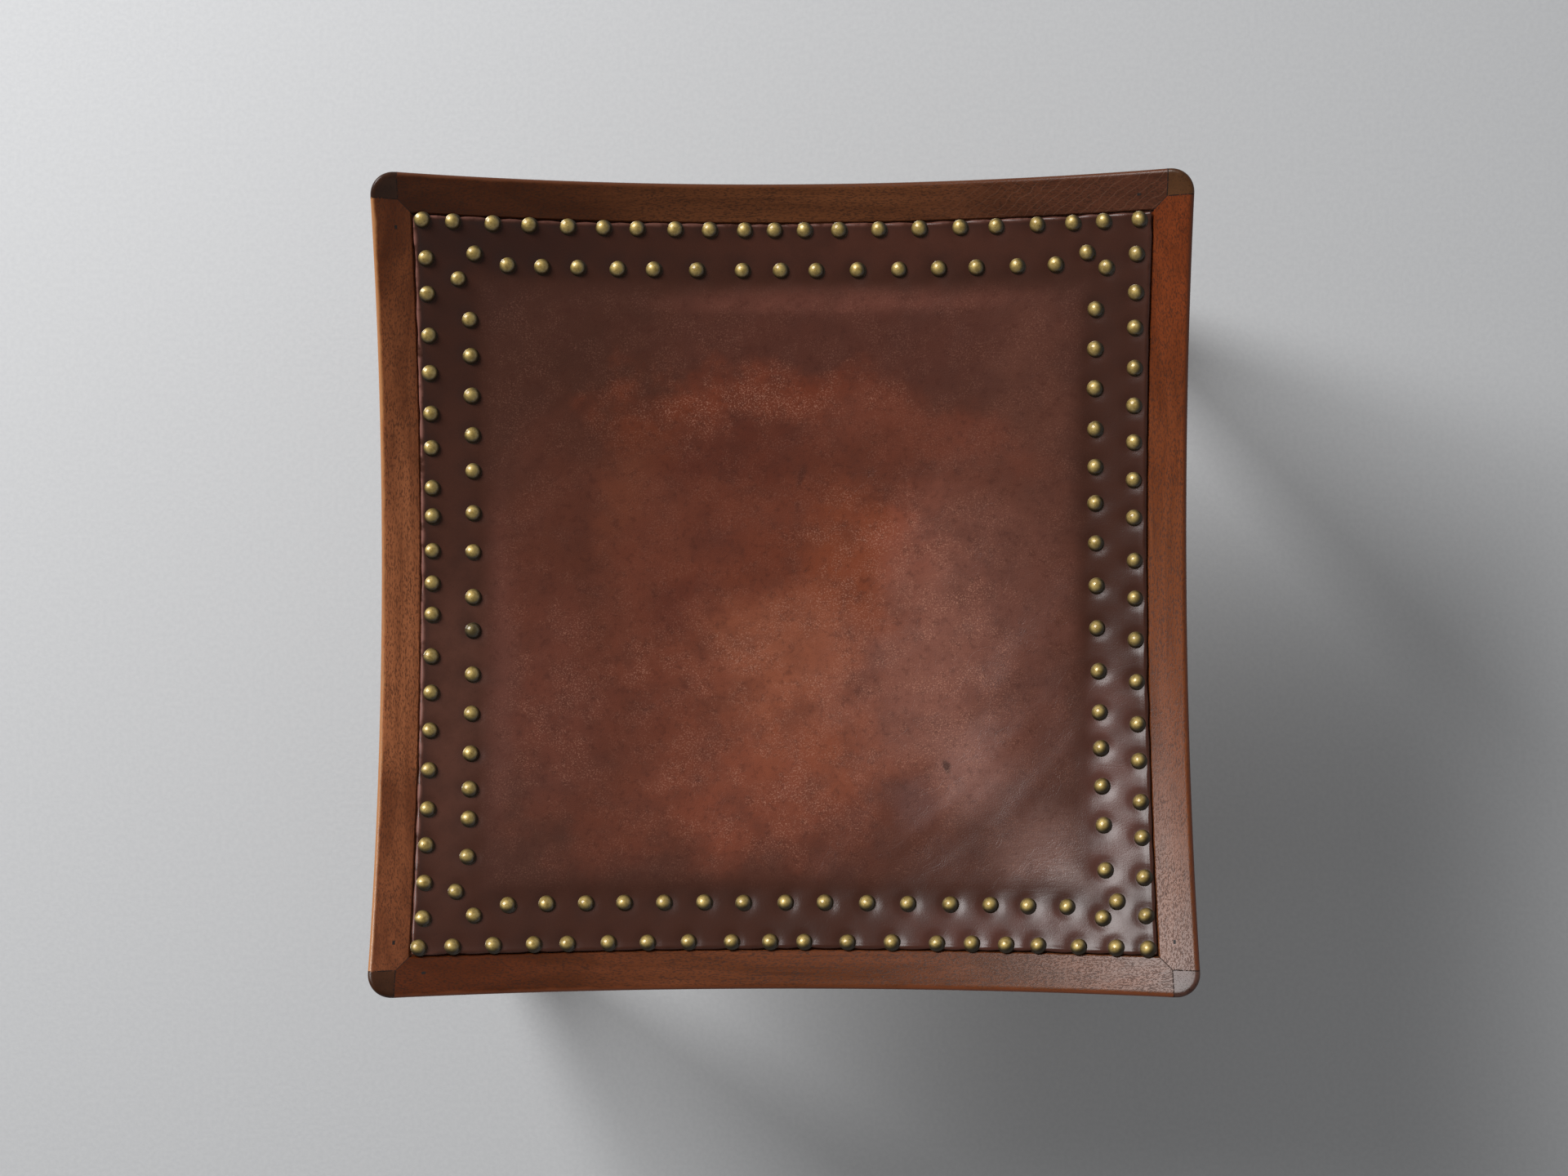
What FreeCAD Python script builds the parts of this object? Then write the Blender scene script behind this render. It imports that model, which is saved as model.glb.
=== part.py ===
import FreeCAD, Part
import math
import os

# A square stool with a dished seat. The tops of the rails, of the posts and of the leather's nailed edge all
# lie on one hollow ball, so the corners stand high and every top leans in. The rails are mitred round four
# short posts, which are the tops of the tapered legs. A leather cover lies in a shallow rebate, held by two
# rows of dome-head nails, over a stuffed pad that rests on hessian and interlaced webbing.
# Millimetres, +Z up. The origin is on the floor below the middle of the seat, and the front is at -Y.

V = FreeCAD.Vector
UP = V(0, 0, 1)

# Overall sizes
seat_side = 480.0          # square seat, outer face to outer face
seat_height = 400.0        # floor to the tops of the corners
seat_dip = 51.0            # middle of each rail below the corners
corner_radius = 14.5       # outer upright corners
arris_radius = 3.6         # round along the outer top edge
arris_angles = (0.0, 45.0, 90.0)   # from the outer face to the top, where the steps of the round meet
corner_steps = 6           # flats round an outer upright corner
edge_steps = 2             # flats round the other edges of a leg

# Rails
rail_width = 38.0
rail_depth = 52.0          # at the middle of a rail
underside_dip = 40.0       # middle of the underside below its ends, were the arc to run to the corners
border_width = 22.4        # bare wood outside the leather
rebate_depth = 2.0

# Legs
post_side = 15.1           # end grain seen at each corner
head_length = 45.0         # straight part below the shoulder
foot_side = 26.0
foot_inset = 8.0           # outer faces at the foot, in from the outer faces of the rails
foot_bevel = 1.5
leg_edge_radius = 2.5
tongue_thickness = 9.0
tongue_height = 30.0
tongue_set_in = 13.5       # middle of the tongue from the outer face
tongue_end_cover = 3.0     # wood left over the end of the tongue
joint_clearance = 0.1

# Brads that pin the rails to the tongues
brad_width = 2.2
brad_thickness = 1.4
brad_from_tongue_end = 4.0
brad_grip = 14.0           # length of brad inside the tongue

# Battens glued inside the rails, and the blocks in the corners below them
batten_width = 36.0
batten_height = 20.0
block_side = 62.0
block_drop = 20.0          # below the shoulder of the leg
screw_drop = 11.0          # screw axis below the shoulder
screw_radius = 2.3
screw_head_radius = 4.6
screw_length = 60.0
screw_point = 7.0
screw_clearance = 0.15
screw_sides = 10

# Webbing
strap_width = 50.0
strap_thickness = 1.6
strap_count = 4
strap_side_gap = 21.0      # from the outer straps to the battens beside them
strap_lap = 22.0           # on the underside of a batten
weave_clearance = 0.3
webbing_sag = 7.0          # middle of the webbing below the middles of the battens
tack_head_side = 4.6
tack_head_height = 0.9
tack_spacing = 15.0
tacks_per_end = 3

# Hessian, pad and leather
soft_clearance = 0.3
hessian_thickness = 0.8
leather_thickness = 3.0
leather_edge_gap = 0.5
leather_corner_radius = 3.0
pad_crown = 5.0            # swell of the pad over the dish of the seat
roll_width = 60.0          # from the edge of the pad to its full swell
sheet_line_shares = (0.13, 0.26, 0.39, 0.52, 0.64, 0.75, 0.85, 0.93, 1.0)

# Dome-head nails
nail_radius = 4.75
nail_edge_angle = 66.0     # degrees from the top of the ball to the rim of the dome
nail_sides = 8
nail_ring_shares = (1.0, 0.66, 0.28)
outer_row_offset = 28.3    # from the outer face of the rail
inner_row_offset = 51.7
inner_end_offset = 45.9    # the pair at each corner of the inner row stands further out
pad_edge_past_row = 6.0

# Places along a row, as shares of half of it. The corner nails belong to the front and back rows.
outer_front_shares = (-1.002, -0.913, -0.804, -0.696, -0.603, -0.491, -0.382, -0.268, -0.147, -0.039, 0.057,
                      0.179, 0.303, 0.428, 0.525, 0.619, 0.706, 0.816, 0.916, 0.999)
outer_back_shares = (-0.998, -0.917, -0.810, -0.710, -0.604, -0.505, -0.411, -0.304, -0.207, -0.107, -0.022,
                     0.062, 0.160, 0.273, 0.388, 0.502, 0.602, 0.715, 0.812, 0.895, 0.990)
outer_left_shares = (-0.925, -0.829, -0.728, -0.628, -0.520, -0.410, -0.304, -0.201, -0.082, 0.006, 0.098,
                     0.196, 0.275, 0.387, 0.483, 0.596, 0.699, 0.812, 0.908)
outer_right_shares = (-0.920, -0.818, -0.709, -0.611, -0.498, -0.395, -0.276, -0.159, -0.041, 0.065, 0.186,
                      0.292, 0.397, 0.499, 0.603, 0.714, 0.808, 0.911)
inner_front_shares = (-0.938, -0.840, -0.724, -0.606, -0.490, -0.369, -0.246, -0.125, 0.005, 0.126, 0.256,
                      0.381, 0.511, 0.632, 0.745, 0.860, 0.964)
inner_back_shares = (-0.941, -0.843, -0.740, -0.632, -0.510, -0.400, -0.266, -0.125, -0.006, 0.104, 0.232,
                     0.361, 0.484, 0.599, 0.722, 0.838, 0.930)
inner_left_shares = (-0.934, -0.830, -0.717, -0.627, -0.519, -0.396, -0.275, -0.139, -0.035, 0.106, 0.225,
                     0.354, 0.466, 0.585, 0.706, 0.814, 0.934)
inner_right_shares = (-0.965, -0.872, -0.739, -0.621, -0.505, -0.395, -0.269, -0.136, -0.005, 0.126, 0.250,
                      0.362, 0.477, 0.601, 0.719, 0.838, 0.960)

# How far the two ends of each row run in from the common offset, as shares of the nail's radius
outer_slant_shares = ((-0.10, -0.34), (0.05, 0.65), (-0.10, -0.38), (0.36, 0.20))
inner_slant_shares = ((-0.21, -0.58), (-0.35, 0.50), (-0.21, -0.40), (0.40, 0.25))

# Which corners are pinned, and through which rail
pinned_joints = (("front_left", "front"), ("front_left", "left"), ("front_right", "right"),
                 ("back_right", "back"), ("back_left", "left"))

# Construction
overrun = 10.0
quarter_turn = 90.0
flat_enough = 1e-6

SIDES = ("front", "right", "back", "left")
CORNERS = ("front_left", "front_right", "back_right", "back_left")

# Worked-out sizes
half = seat_side / 2
reach = half + overrun
edge_radius = (half ** 2 + seat_dip ** 2) / (2 * seat_dip)
dish_radius = math.sqrt(edge_radius ** 2 + half ** 2)
underside_radius = (half ** 2 + underside_dip ** 2) / (2 * underside_dip)
top_mid = seat_height - seat_dip
underside_mid = top_mid - rail_depth
rail_inner = half - rail_width
batten_inner = rail_inner - batten_width
floor_mid = top_mid - rebate_depth
leather_under_mid = floor_mid + soft_clearance
leather_top_mid = leather_under_mid + leather_thickness
leather_half = half - border_width - leather_edge_gap
pad_edge = half - inner_row_offset - pad_edge_past_row
batten_under_mid = floor_mid - batten_height
opening_half = batten_inner - soft_clearance


def dish(x, y):
    """Height of the dish above the middles of the seat's outer edges."""
    return edge_radius - math.sqrt(dish_radius ** 2 - x ** 2 - y ** 2)


def underside_rise(along):
    """Height of the underside's arc above its middle."""
    return underside_radius - math.sqrt(underside_radius ** 2 - along ** 2)


shoulder = underside_mid + underside_rise(rail_inner)


def save(name, shape):
    """Write one piece, or one group of separate like pieces, to its own file."""
    if not shape.isValid():
        raise ValueError(name + " is not a sound solid")
    shape.exportStep("parts/" + name + ".step")
    print(name, "solids", len(shape.Solids), "volume", round(shape.Volume))


def turned(shape, quarters):
    """A copy turned about the upright axis of the seat, by quarters of a turn."""
    copy = shape.copy()
    copy.rotate(V(0, 0, 0), UP, quarter_turn * quarters)
    return copy


def upright_box(x_low, x_high, y_low, y_high, z_low, z_high):
    return Part.makeBox(x_high - x_low, y_high - y_low, z_high - z_low, V(x_low, y_low, z_low))


def square_prism(half_side, z_low=0.0, z_high=seat_height + overrun):
    return upright_box(-half_side, half_side, -half_side, half_side, z_low, z_high)


def side_wedge():
    """The front quarter of the plan, cut along the mitres."""
    outline = Part.makePolygon([V(-reach, -reach, 0), V(reach, -reach, 0), V(0, 0, 0), V(-reach, -reach, 0)])
    return Part.Face(outline).extrude(UP * (seat_height + overrun))


def carried_along(section):
    """The front quarter of a ring: points (across, height) at the middle, turned round the dish's level axis."""
    points = [V(0, across, height) for across, height in section]
    face = Part.Face(Part.makePolygon(points + points[:1]))
    centre = V(0, 0, top_mid + edge_radius)
    half_angle = math.degrees(math.asin(reach / edge_radius))
    face.rotate(centre, V(0, 1, 0), -half_angle)
    return face.revolve(centre, V(0, 1, 0), 2 * half_angle).common(side_wedge())


def on_dish(across, middle):
    """A point of a section, on the dish that passes the middles of the outer edges at the given height."""
    return (across, middle + dish(0, across))


def from_facets(facets):
    """A solid closed by flat faces, each given by its corners in order."""
    shell = Part.makeShell([Part.Face(Part.makePolygon(points + points[:1])) for points in facets])
    solid = Part.makeSolid(shell)
    if solid.Volume < 0:
        solid.reverse()
    return solid


def band_facets(lower, upper):
    """Flat faces between two closed outlines with matching points."""
    count = len(lower)
    return [[lower[index], lower[(index + 1) % count], upper[(index + 1) % count], upper[index]]
            for index in range(count)]


def turning(profile, sides):
    """A solid with flat sides round +Z through a profile of heights and radii."""
    angles = [2 * math.pi * index / sides for index in range(sides)]
    rings = [[V(radius * math.cos(a), radius * math.sin(a), height) for a in angles]
             for height, radius in profile if radius > 0]
    facets = [rings[0]]
    for lower, upper in zip(rings, rings[1:]):
        facets += band_facets(lower, upper)
    last_height, last_radius = profile[-1]
    if last_radius > 0:
        facets.append(rings[-1])
    else:
        tip = V(0, 0, last_height)
        facets += [[rings[-1][index], rings[-1][(index + 1) % sides], tip] for index in range(sides)]
    return from_facets(facets)


def arc_points(x, y, radius, first_angle, steps, height):
    """Points on a quarter circle."""
    angles = [math.radians(first_angle + quarter_turn * index / steps) for index in range(steps + 1)]
    return [V(x + radius * math.cos(a), y + radius * math.sin(a), height) for a in angles]


def rounded_square(start, side, outer_radius, inner_radius, height):
    """Outline with its lowest corner at start on both axes: that corner has the outer radius."""
    end = start + side
    centres = ((start + outer_radius, start + outer_radius, outer_radius, 2, corner_steps),
               (end - inner_radius, start + inner_radius, inner_radius, 3, edge_steps),
               (end - inner_radius, end - inner_radius, inner_radius, 0, edge_steps),
               (start + inner_radius, end - inner_radius, inner_radius, 1, edge_steps))
    points = []
    for x, y, radius, quarter, steps in centres:
        points += arc_points(x, y, radius, quarter_turn * quarter, steps, height)
    return points


def arris_steps():
    """How far in and how far down the flats of the rounded arris meet, from the outer face to the top."""
    angles = [math.radians(angle) for angle in arris_angles]
    return [(arris_radius * (1 - math.cos(a)), arris_radius * (1 - math.sin(a))) for a in angles]


def rail_blank():
    """The front rail before it is arched and notched: its outer top edge rounded, the rebate cut."""
    section = [(-half, 0)]
    for inset, drop in arris_steps():
        across, height = on_dish(-half + inset, top_mid)
        section.append((across, height - drop))
    section += [on_dish(-half + border_width, top_mid), on_dish(-half + border_width, floor_mid),
                on_dish(-rail_inner, floor_mid), (-rail_inner, 0)]
    return carried_along(section)


def post():
    """The front left corner post: the end of a leg, shaped to the dish and rounded like the rails."""
    end = -half + post_side
    centre = -half + corner_radius

    def ring(inset, drop):
        points = [V(-half + inset, end, 0)]
        points += arc_points(centre, centre, corner_radius - inset, quarter_turn * 2, corner_steps, 0)
        points.append(V(end, -half + inset, 0))
        return [V(point.x, point.y, top_mid + dish(point.x, point.y) - drop) for point in points]

    rings = [ring(inset, drop) for inset, drop in arris_steps()]
    base = [V(point.x, point.y, shoulder) for point in rings[0]]
    inner_corner = V(end, end, top_mid + dish(end, end))
    base_corner = V(end, end, shoulder)
    facets = [base + [base_corner]]
    for index in range(len(base) - 1):
        following = index + 1
        facets.append([base[index], base[following], rings[0][following], rings[0][index]])
        for lower, upper in zip(rings, rings[1:]):
            facets.append([lower[index], lower[following], upper[following]])
            facets.append([lower[index], upper[following], upper[index]])
        facets.append([rings[-1][index], rings[-1][following], inner_corner])
    for index in (0, -1):
        facets.append([base[index]] + [ring_points[index] for ring_points in rings] + [inner_corner, base_corner])
    return from_facets(facets)


def tongue(grow):
    """The tongue along the front rail at the front left corner, grown for its slot."""
    middle = -half + tongue_set_in
    return upright_box(-half + post_side, -rail_inner - tongue_end_cover + grow,
                       middle - tongue_thickness / 2 - grow, middle + tongue_thickness / 2 + grow,
                       shoulder, shoulder + tongue_height + grow)


def corner_tongues(grow):
    """Both tongues of the front left corner: the second is the first, mirrored in the mitre."""
    first = tongue(grow)
    return first, first.mirror(V(0, 0, 0), V(1, -1, 0))


def brad(on_front):
    """A brad at the front left corner, down through a rail into its tongue."""
    along = -rail_inner - tongue_end_cover - brad_from_tongue_end
    across = -half + tongue_set_in
    pin = upright_box(along - brad_width / 2, along + brad_width / 2,
                      across - brad_thickness / 2, across + brad_thickness / 2,
                      shoulder + tongue_height - brad_grip, seat_height)
    return pin if on_front else pin.mirror(V(0, 0, 0), V(1, -1, 0))


def all_brads(blank):
    pins = []
    for corner, rail in pinned_joints:
        quarters = CORNERS.index(corner)
        pin = turned(brad(SIDES.index(rail) == quarters), quarters)
        pins.append(pin.common(turned(blank, SIDES.index(rail))))
    return pins


def screw():
    """A countersunk screw down +Z, its head's face at the origin."""
    head_height = screw_head_radius - screw_radius
    return turning(((0, screw_head_radius), (head_height, screw_radius),
                    (screw_length - screw_point, screw_radius), (screw_length, 0)), screw_sides)


def screw_hole():
    """What the screw takes out of the wood, open past its head."""
    head_radius = screw_head_radius + screw_clearance
    radius = screw_radius + screw_clearance
    head_height = screw_head_radius - screw_radius
    return turning(((-overrun, head_radius), (0, head_radius), (head_height, radius),
                    (screw_length - screw_point, radius), (screw_length + screw_clearance, 0)), screw_sides)


def in_front_left_block(piece):
    """The piece laid level, from the middle of the front left block's long face into the leg."""
    start = -rail_inner + block_side / 2
    placed = piece.copy()
    placed.Placement = FreeCAD.Placement(V(start, start, shoulder - screw_drop),
                                         FreeCAD.Rotation(UP, V(-1, -1, 0)))
    return placed


def legs(brads):
    """Tapered legs. Above the shoulder each has its corner post and two tongues."""
    ratio = foot_side / rail_width
    start = -half + foot_inset
    outlines = [
        rounded_square(start + foot_bevel, foot_side - 2 * foot_bevel, corner_radius * ratio - foot_bevel,
                       leg_edge_radius - foot_bevel, 0),
        rounded_square(start, foot_side, corner_radius * ratio, leg_edge_radius, foot_bevel),
        rounded_square(-half, rail_width, corner_radius, leg_edge_radius, shoulder - head_length),
        rounded_square(-half, rail_width, corner_radius, leg_edge_radius, shoulder)]
    facets = [outlines[0], outlines[-1]]
    for lower, upper in zip(outlines, outlines[1:]):
        facets += band_facets(lower, upper)
    leg = from_facets(facets).fuse([post(), *corner_tongues(0.0)]).removeSplitter()
    leg = leg.cut(in_front_left_block(screw_hole()))
    for quarters, corner in enumerate(CORNERS):
        save("leg_" + corner, turned(leg, quarters).cut(brads))


def rails(blank, brads):
    """Four rails, mitred on the diagonals, arched below, slotted over the tongues."""
    low = V(-reach, 0, 0)
    end = V(-reach, 0, shoulder)
    foot = V(-rail_inner, 0, shoulder)
    mirrored = [V(-point.x, 0, point.z) for point in (foot, end, low)]
    arch = Part.Arc(foot, V(0, 0, underside_mid), mirrored[0]).toShape()
    outline = Part.makePolygon([low, end, foot]).Edges + [arch]
    outline += Part.makePolygon(mirrored + [low]).Edges
    below = Part.Face(Part.Wire(outline)).extrude(V(0, rail_width + 2 * overrun, 0))
    below.translate(V(0, -half - overrun, 0))
    rail = blank.cut(below)
    for quarters in (0, 1):
        corner = upright_box(-reach, -half + post_side, -reach, -half + post_side, 0, seat_height)
        cutters = [corner, *corner_tongues(joint_clearance)]
        rail = rail.cut([turned(cutter, quarters) for cutter in cutters])
    for quarters, side in enumerate(SIDES):
        save("rail_" + side, turned(rail, quarters).cut(brads))


def battens():
    """Strips glued inside the rails, level with the rebate, for the inner nails and the webbing."""
    batten = carried_along([on_dish(-rail_inner, batten_under_mid), on_dish(-rail_inner, floor_mid),
                            on_dish(-batten_inner, floor_mid), on_dish(-batten_inner, batten_under_mid)])
    for quarters, side in enumerate(SIDES):
        save("batten_" + side, turned(batten, quarters))


def corner_blocks():
    """Three-sided blocks, shaped to the undersides of the battens, each with a screw into its leg."""
    corner = -rail_inner
    outline = Part.makePolygon([V(corner, corner, 0), V(corner + block_side, corner, 0),
                                V(corner, corner + block_side, 0), V(corner, corner, 0)])
    block = Part.Face(outline).extrude(UP * seat_height)
    long_end = corner + block_side
    under_front = carried_along([(corner, 0), on_dish(corner, batten_under_mid),
                                 on_dish(-batten_inner, batten_under_mid),
                                 on_dish(long_end, batten_under_mid), (long_end, 0)])
    below = under_front.fuse(under_front.mirror(V(0, 0, 0), V(1, -1, 0)))
    block = block.common(below).common(square_prism(half, shoulder - block_drop)).removeSplitter()
    block = block.cut(in_front_left_block(screw_hole()))
    for quarters, name in enumerate(CORNERS):
        save("corner_block_" + name, turned(block, quarters))
    first = in_front_left_block(screw())
    save("corner_block_screws", Part.makeCompound([turned(first, quarters) for quarters in range(len(CORNERS))]))


strap_mid = batten_under_mid - soft_clearance - strap_thickness / 2
weave_lift = (strap_thickness + weave_clearance) / 2


def sling_share(place):
    """Climb of a batten's arc at a place along it, as a share of its climb to the corner."""
    low = dish(batten_inner, 0)
    return (dish(batten_inner, place) - low) / (dish(batten_inner, batten_inner) - low)


def strap_height(along, across):
    """Middle of the webbing's thickness: on the dish under the battens, and slung between them."""
    if abs(along) >= batten_inner:
        return strap_mid + dish(along, across)
    low = dish(batten_inner, 0)
    climb = (dish(batten_inner, batten_inner) - low) * sling_share(along) * sling_share(across)
    sag = webbing_sag * (1 - sling_share(along)) * (1 - sling_share(across))
    return strap_mid + low + climb - sag


def strap_lean(along, across):
    """Height from the middle of a strap to its edge, tangent to the sling."""
    edge = strap_width / 2
    return (strap_height(along, across + edge) - strap_height(along, across - edge)) / 2


def strap_section(along, across, lift):
    """Outline across a strap that runs along X, tilted like the batten that carries it."""
    middle = strap_height(along, across) + lift
    lean = strap_lean(along, across)
    corners = ((-1, -1), (1, -1), (1, 1), (-1, 1))
    return [V(along, across + side * strap_width / 2, middle + side * lean + level * strap_thickness / 2)
            for side, level in corners]


def to_dish_centre(x, y):
    """Direction square to the dish."""
    return V(-x, -y, edge_radius - dish(x, y))


def strap_places():
    outermost = batten_inner - strap_side_gap - strap_width / 2
    return [outermost * (2 * index / (strap_count - 1) - 1) for index in range(strap_count)]


def strap(row):
    """One strap along X. It goes over and under the straps that cross it."""
    across = strap_places()[row]
    lap = batten_inner + strap_lap
    flat = strap_width / 2 + weave_clearance
    stations = [(-lap, 0.0), (-batten_inner, 0.0)]
    for column, place in enumerate(strap_places()):
        lift = weave_lift if (row + column) % 2 == 0 else -weave_lift
        stations += [(place - flat, lift), (place + flat, lift)]
    stations += [(batten_inner, 0.0), (lap, 0.0)]
    sections = [strap_section(along, across, lift) for along, lift in stations]
    facets = [sections[0], sections[-1]]
    for lower, upper in zip(sections, sections[1:]):
        for a, b, c, d in band_facets(lower, upper):
            facets += [[a, b, c], [a, c, d]]
    return from_facets(facets)


def strap_tacks(row):
    """Square-headed tacks under both ends of one strap."""
    across = strap_places()[row]
    pieces = []
    for end in (-1, 1):
        for place in range(tacks_per_end):
            sideways = (place - (tacks_per_end - 1) / 2) * tack_spacing
            tack = upright_box(-tack_head_side / 2, tack_head_side / 2, -tack_head_side / 2,
                               tack_head_side / 2, -tack_head_height, 0)
            along = end * (batten_inner + strap_lap / 2)
            height = strap_height(along, across) - strap_thickness / 2 - joint_clearance
            normal = to_dish_centre(along, across)
            height -= sideways * normal.y / normal.z
            tack.Placement = FreeCAD.Placement(V(along, across + sideways, height),
                                               FreeCAD.Rotation(UP, normal))
            pieces.append(tack)
    return pieces


def webbing():
    """Two sets of straps, woven through each other and tacked under the battens."""
    straps = [strap(row) for row in range(strap_count)]
    save("webbing_side_to_side", Part.makeCompound(straps))
    save("webbing_front_to_back", Part.makeCompound([turned(piece, 1) for piece in straps]))
    tacks = [tack for row in range(strap_count) for tack in strap_tacks(row)]
    tacks += [turned(tack, 1) for tack in tacks]
    save("webbing_tacks", Part.makeCompound(tacks))


def grid_lines(half_side, shares):
    """Lines of a square grid, from one side to the other through the middle."""
    outward = [half_side * share for share in shares]
    return [-place for place in reversed(outward)] + [0.0] + outward


def sheet(lines, top, bottom):
    """A solid between two heights over a square grid. Cells that aren't flat are folded on a diagonal."""
    last = len(lines) - 1
    facets = []
    for height in (top, bottom):
        grid = [[V(x, y, height(x, y)) for y in lines] for x in lines]
        for i in range(last):
            for j in range(last):
                a, b, c, d = grid[i][j], grid[i + 1][j], grid[i + 1][j + 1], grid[i][j + 1]
                if abs(a.z + c.z - b.z - d.z) < flat_enough:
                    facets.append([a, b, c, d])
                elif (a.x + b.x) * (a.y + d.y) > 0:
                    facets += [[a, b, c], [a, c, d]]
                else:
                    facets += [[a, b, d], [b, c, d]]
    ends = (lines[0], lines[-1])
    for low, high in zip(lines, lines[1:]):
        for end in ends:
            for rim in (((low, end), (high, end)), ((end, low), (end, high))):
                (x, y), (next_x, next_y) = rim
                facets.append([V(x, y, bottom(x, y)), V(next_x, next_y, bottom(next_x, next_y)),
                               V(next_x, next_y, top(next_x, next_y)), V(x, y, top(x, y))])
    return from_facets(facets)


def hessian_under(x, y):
    """Underside of the hessian, just above the highest faces of the woven straps."""
    above_straps = weave_lift + strap_thickness / 2 + soft_clearance
    chord = dish(strap_width / 2 + weave_clearance, half)
    return strap_height(x, y) + above_straps + chord


def hessian_top(x, y):
    return hessian_under(x, y) + hessian_thickness


def pad_under(x, y):
    """Underside of the pad, bent along the same lines as the hessian below it."""
    return hessian_top(x, y) + soft_clearance


def swell(coordinate):
    """Share of the pad's swell, from none at its edge to all of it past the roll."""
    inward = pad_edge - abs(coordinate)
    return math.sin(math.pi / 2 * min(inward / roll_width, 1))


def leather_top(x, y):
    """Top of the leather: on the dish along the nailed strips, and inside them raised by the pad."""
    crown = pad_crown * swell(x) * swell(y) if max(abs(x), abs(y)) < pad_edge else 0.0
    return leather_top_mid + dish(x, y) + crown


def leather_under(x, y):
    return leather_top(x, y) - leather_thickness


def pad_top(x, y):
    return leather_under(x, y) - soft_clearance


def hessian_and_pad():
    """The hessian on the webbing, and the stuffing between it and the leather."""
    lines = grid_lines(opening_half, sheet_line_shares)
    save("hessian", sheet(lines, hessian_top, hessian_under))
    save("seat_pad", sheet(lines, pad_top, pad_under))


def leather():
    """One hide: on the dish between the rows of nails, and swelling inside them."""
    outside = [pad_edge, (pad_edge + leather_half) / 2, leather_half]
    inside = grid_lines(opening_half, sheet_line_shares)
    lines = [-place for place in reversed(outside)] + inside + outside
    hide = sheet(lines, leather_top, leather_under)
    outline = square_prism(leather_half)
    uprights = [edge for edge in outline.Edges if edge.BoundBox.ZLength > seat_height]
    save("leather_cover", hide.common(outline.makeFillet(leather_corner_radius, uprights)))


def nail():
    """A dome with flat sides, its rim on the ground."""
    ball = nail_radius / math.sin(math.radians(nail_edge_angle))
    angles = [math.radians(nail_edge_angle * share) for share in nail_ring_shares]
    return turning([(ball * (math.cos(a) - math.cos(angles[0])), ball * math.sin(a)) for a in angles],
                   nail_sides)


def nail_row(shares, offset, end_offset, slant_shares):
    """Nails along the front, each square to the leather below it."""
    start, end = slant_shares
    head = nail()
    row = []
    for index, share in enumerate(shares):
        at_end = index in (0, len(shares) - 1)
        along = share * (half - end_offset)
        slant = nail_radius * (start + (end - start) * (1 + share) / 2)
        across = -half + slant + (end_offset if at_end else offset)
        height = leather_top_mid + soft_clearance + dish(along, across)
        placed = head.copy()
        placed.Placement = FreeCAD.Placement(V(along, across, height),
                                             FreeCAD.Rotation(UP, to_dish_centre(along, across)))
        row.append(placed)
    return row


def nails():
    """Eight groups: an outer and an inner row on each side. Rows are given as seen along their side."""
    outer = (outer_front_shares, outer_right_shares, outer_back_shares, outer_left_shares)
    inner = (inner_front_shares, inner_right_shares, inner_back_shares, inner_left_shares)
    for quarters, side in enumerate(SIDES):
        direction = 1 if quarters in (0, 1) else -1
        shares = sorted(direction * share for share in outer[quarters])
        row = nail_row(shares, outer_row_offset, outer_row_offset, outer_slant_shares[quarters])
        save("outer_nails_" + side, Part.makeCompound([turned(piece, quarters) for piece in row]))
        shares = sorted(direction * share for share in inner[quarters])
        row = nail_row(shares, inner_row_offset, inner_end_offset, inner_slant_shares[quarters])
        save("inner_nails_" + side, Part.makeCompound([turned(piece, quarters) for piece in row]))


def main():
    os.makedirs("parts", exist_ok=True)
    blank = rail_blank()
    brads = all_brads(blank)
    legs(brads)
    rails(blank, brads)
    save("joint_brads", Part.makeCompound(brads))
    battens()
    corner_blocks()
    webbing()
    hessian_and_pad()
    leather()
    nails()


main()
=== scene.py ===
import math

import bmesh
import bpy
import numpy as np
from mathutils import Matrix, Vector
from mathutils.kdtree import KDTree


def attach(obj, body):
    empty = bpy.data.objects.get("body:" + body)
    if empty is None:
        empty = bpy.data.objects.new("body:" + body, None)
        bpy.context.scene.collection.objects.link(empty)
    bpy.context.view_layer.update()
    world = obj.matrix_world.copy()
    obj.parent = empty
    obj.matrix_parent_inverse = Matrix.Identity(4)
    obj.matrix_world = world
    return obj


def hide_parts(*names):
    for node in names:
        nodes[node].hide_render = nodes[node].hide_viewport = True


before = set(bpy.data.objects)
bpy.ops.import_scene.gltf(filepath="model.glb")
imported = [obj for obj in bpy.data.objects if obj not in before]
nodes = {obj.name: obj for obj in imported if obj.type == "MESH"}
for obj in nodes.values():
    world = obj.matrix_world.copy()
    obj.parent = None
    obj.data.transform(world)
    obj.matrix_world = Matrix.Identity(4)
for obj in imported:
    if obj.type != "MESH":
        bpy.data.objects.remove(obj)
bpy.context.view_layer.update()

# Looks for the square dished stool. Metres, +Z up, the front at -Y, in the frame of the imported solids.

rng = np.random.default_rng(7)

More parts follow.
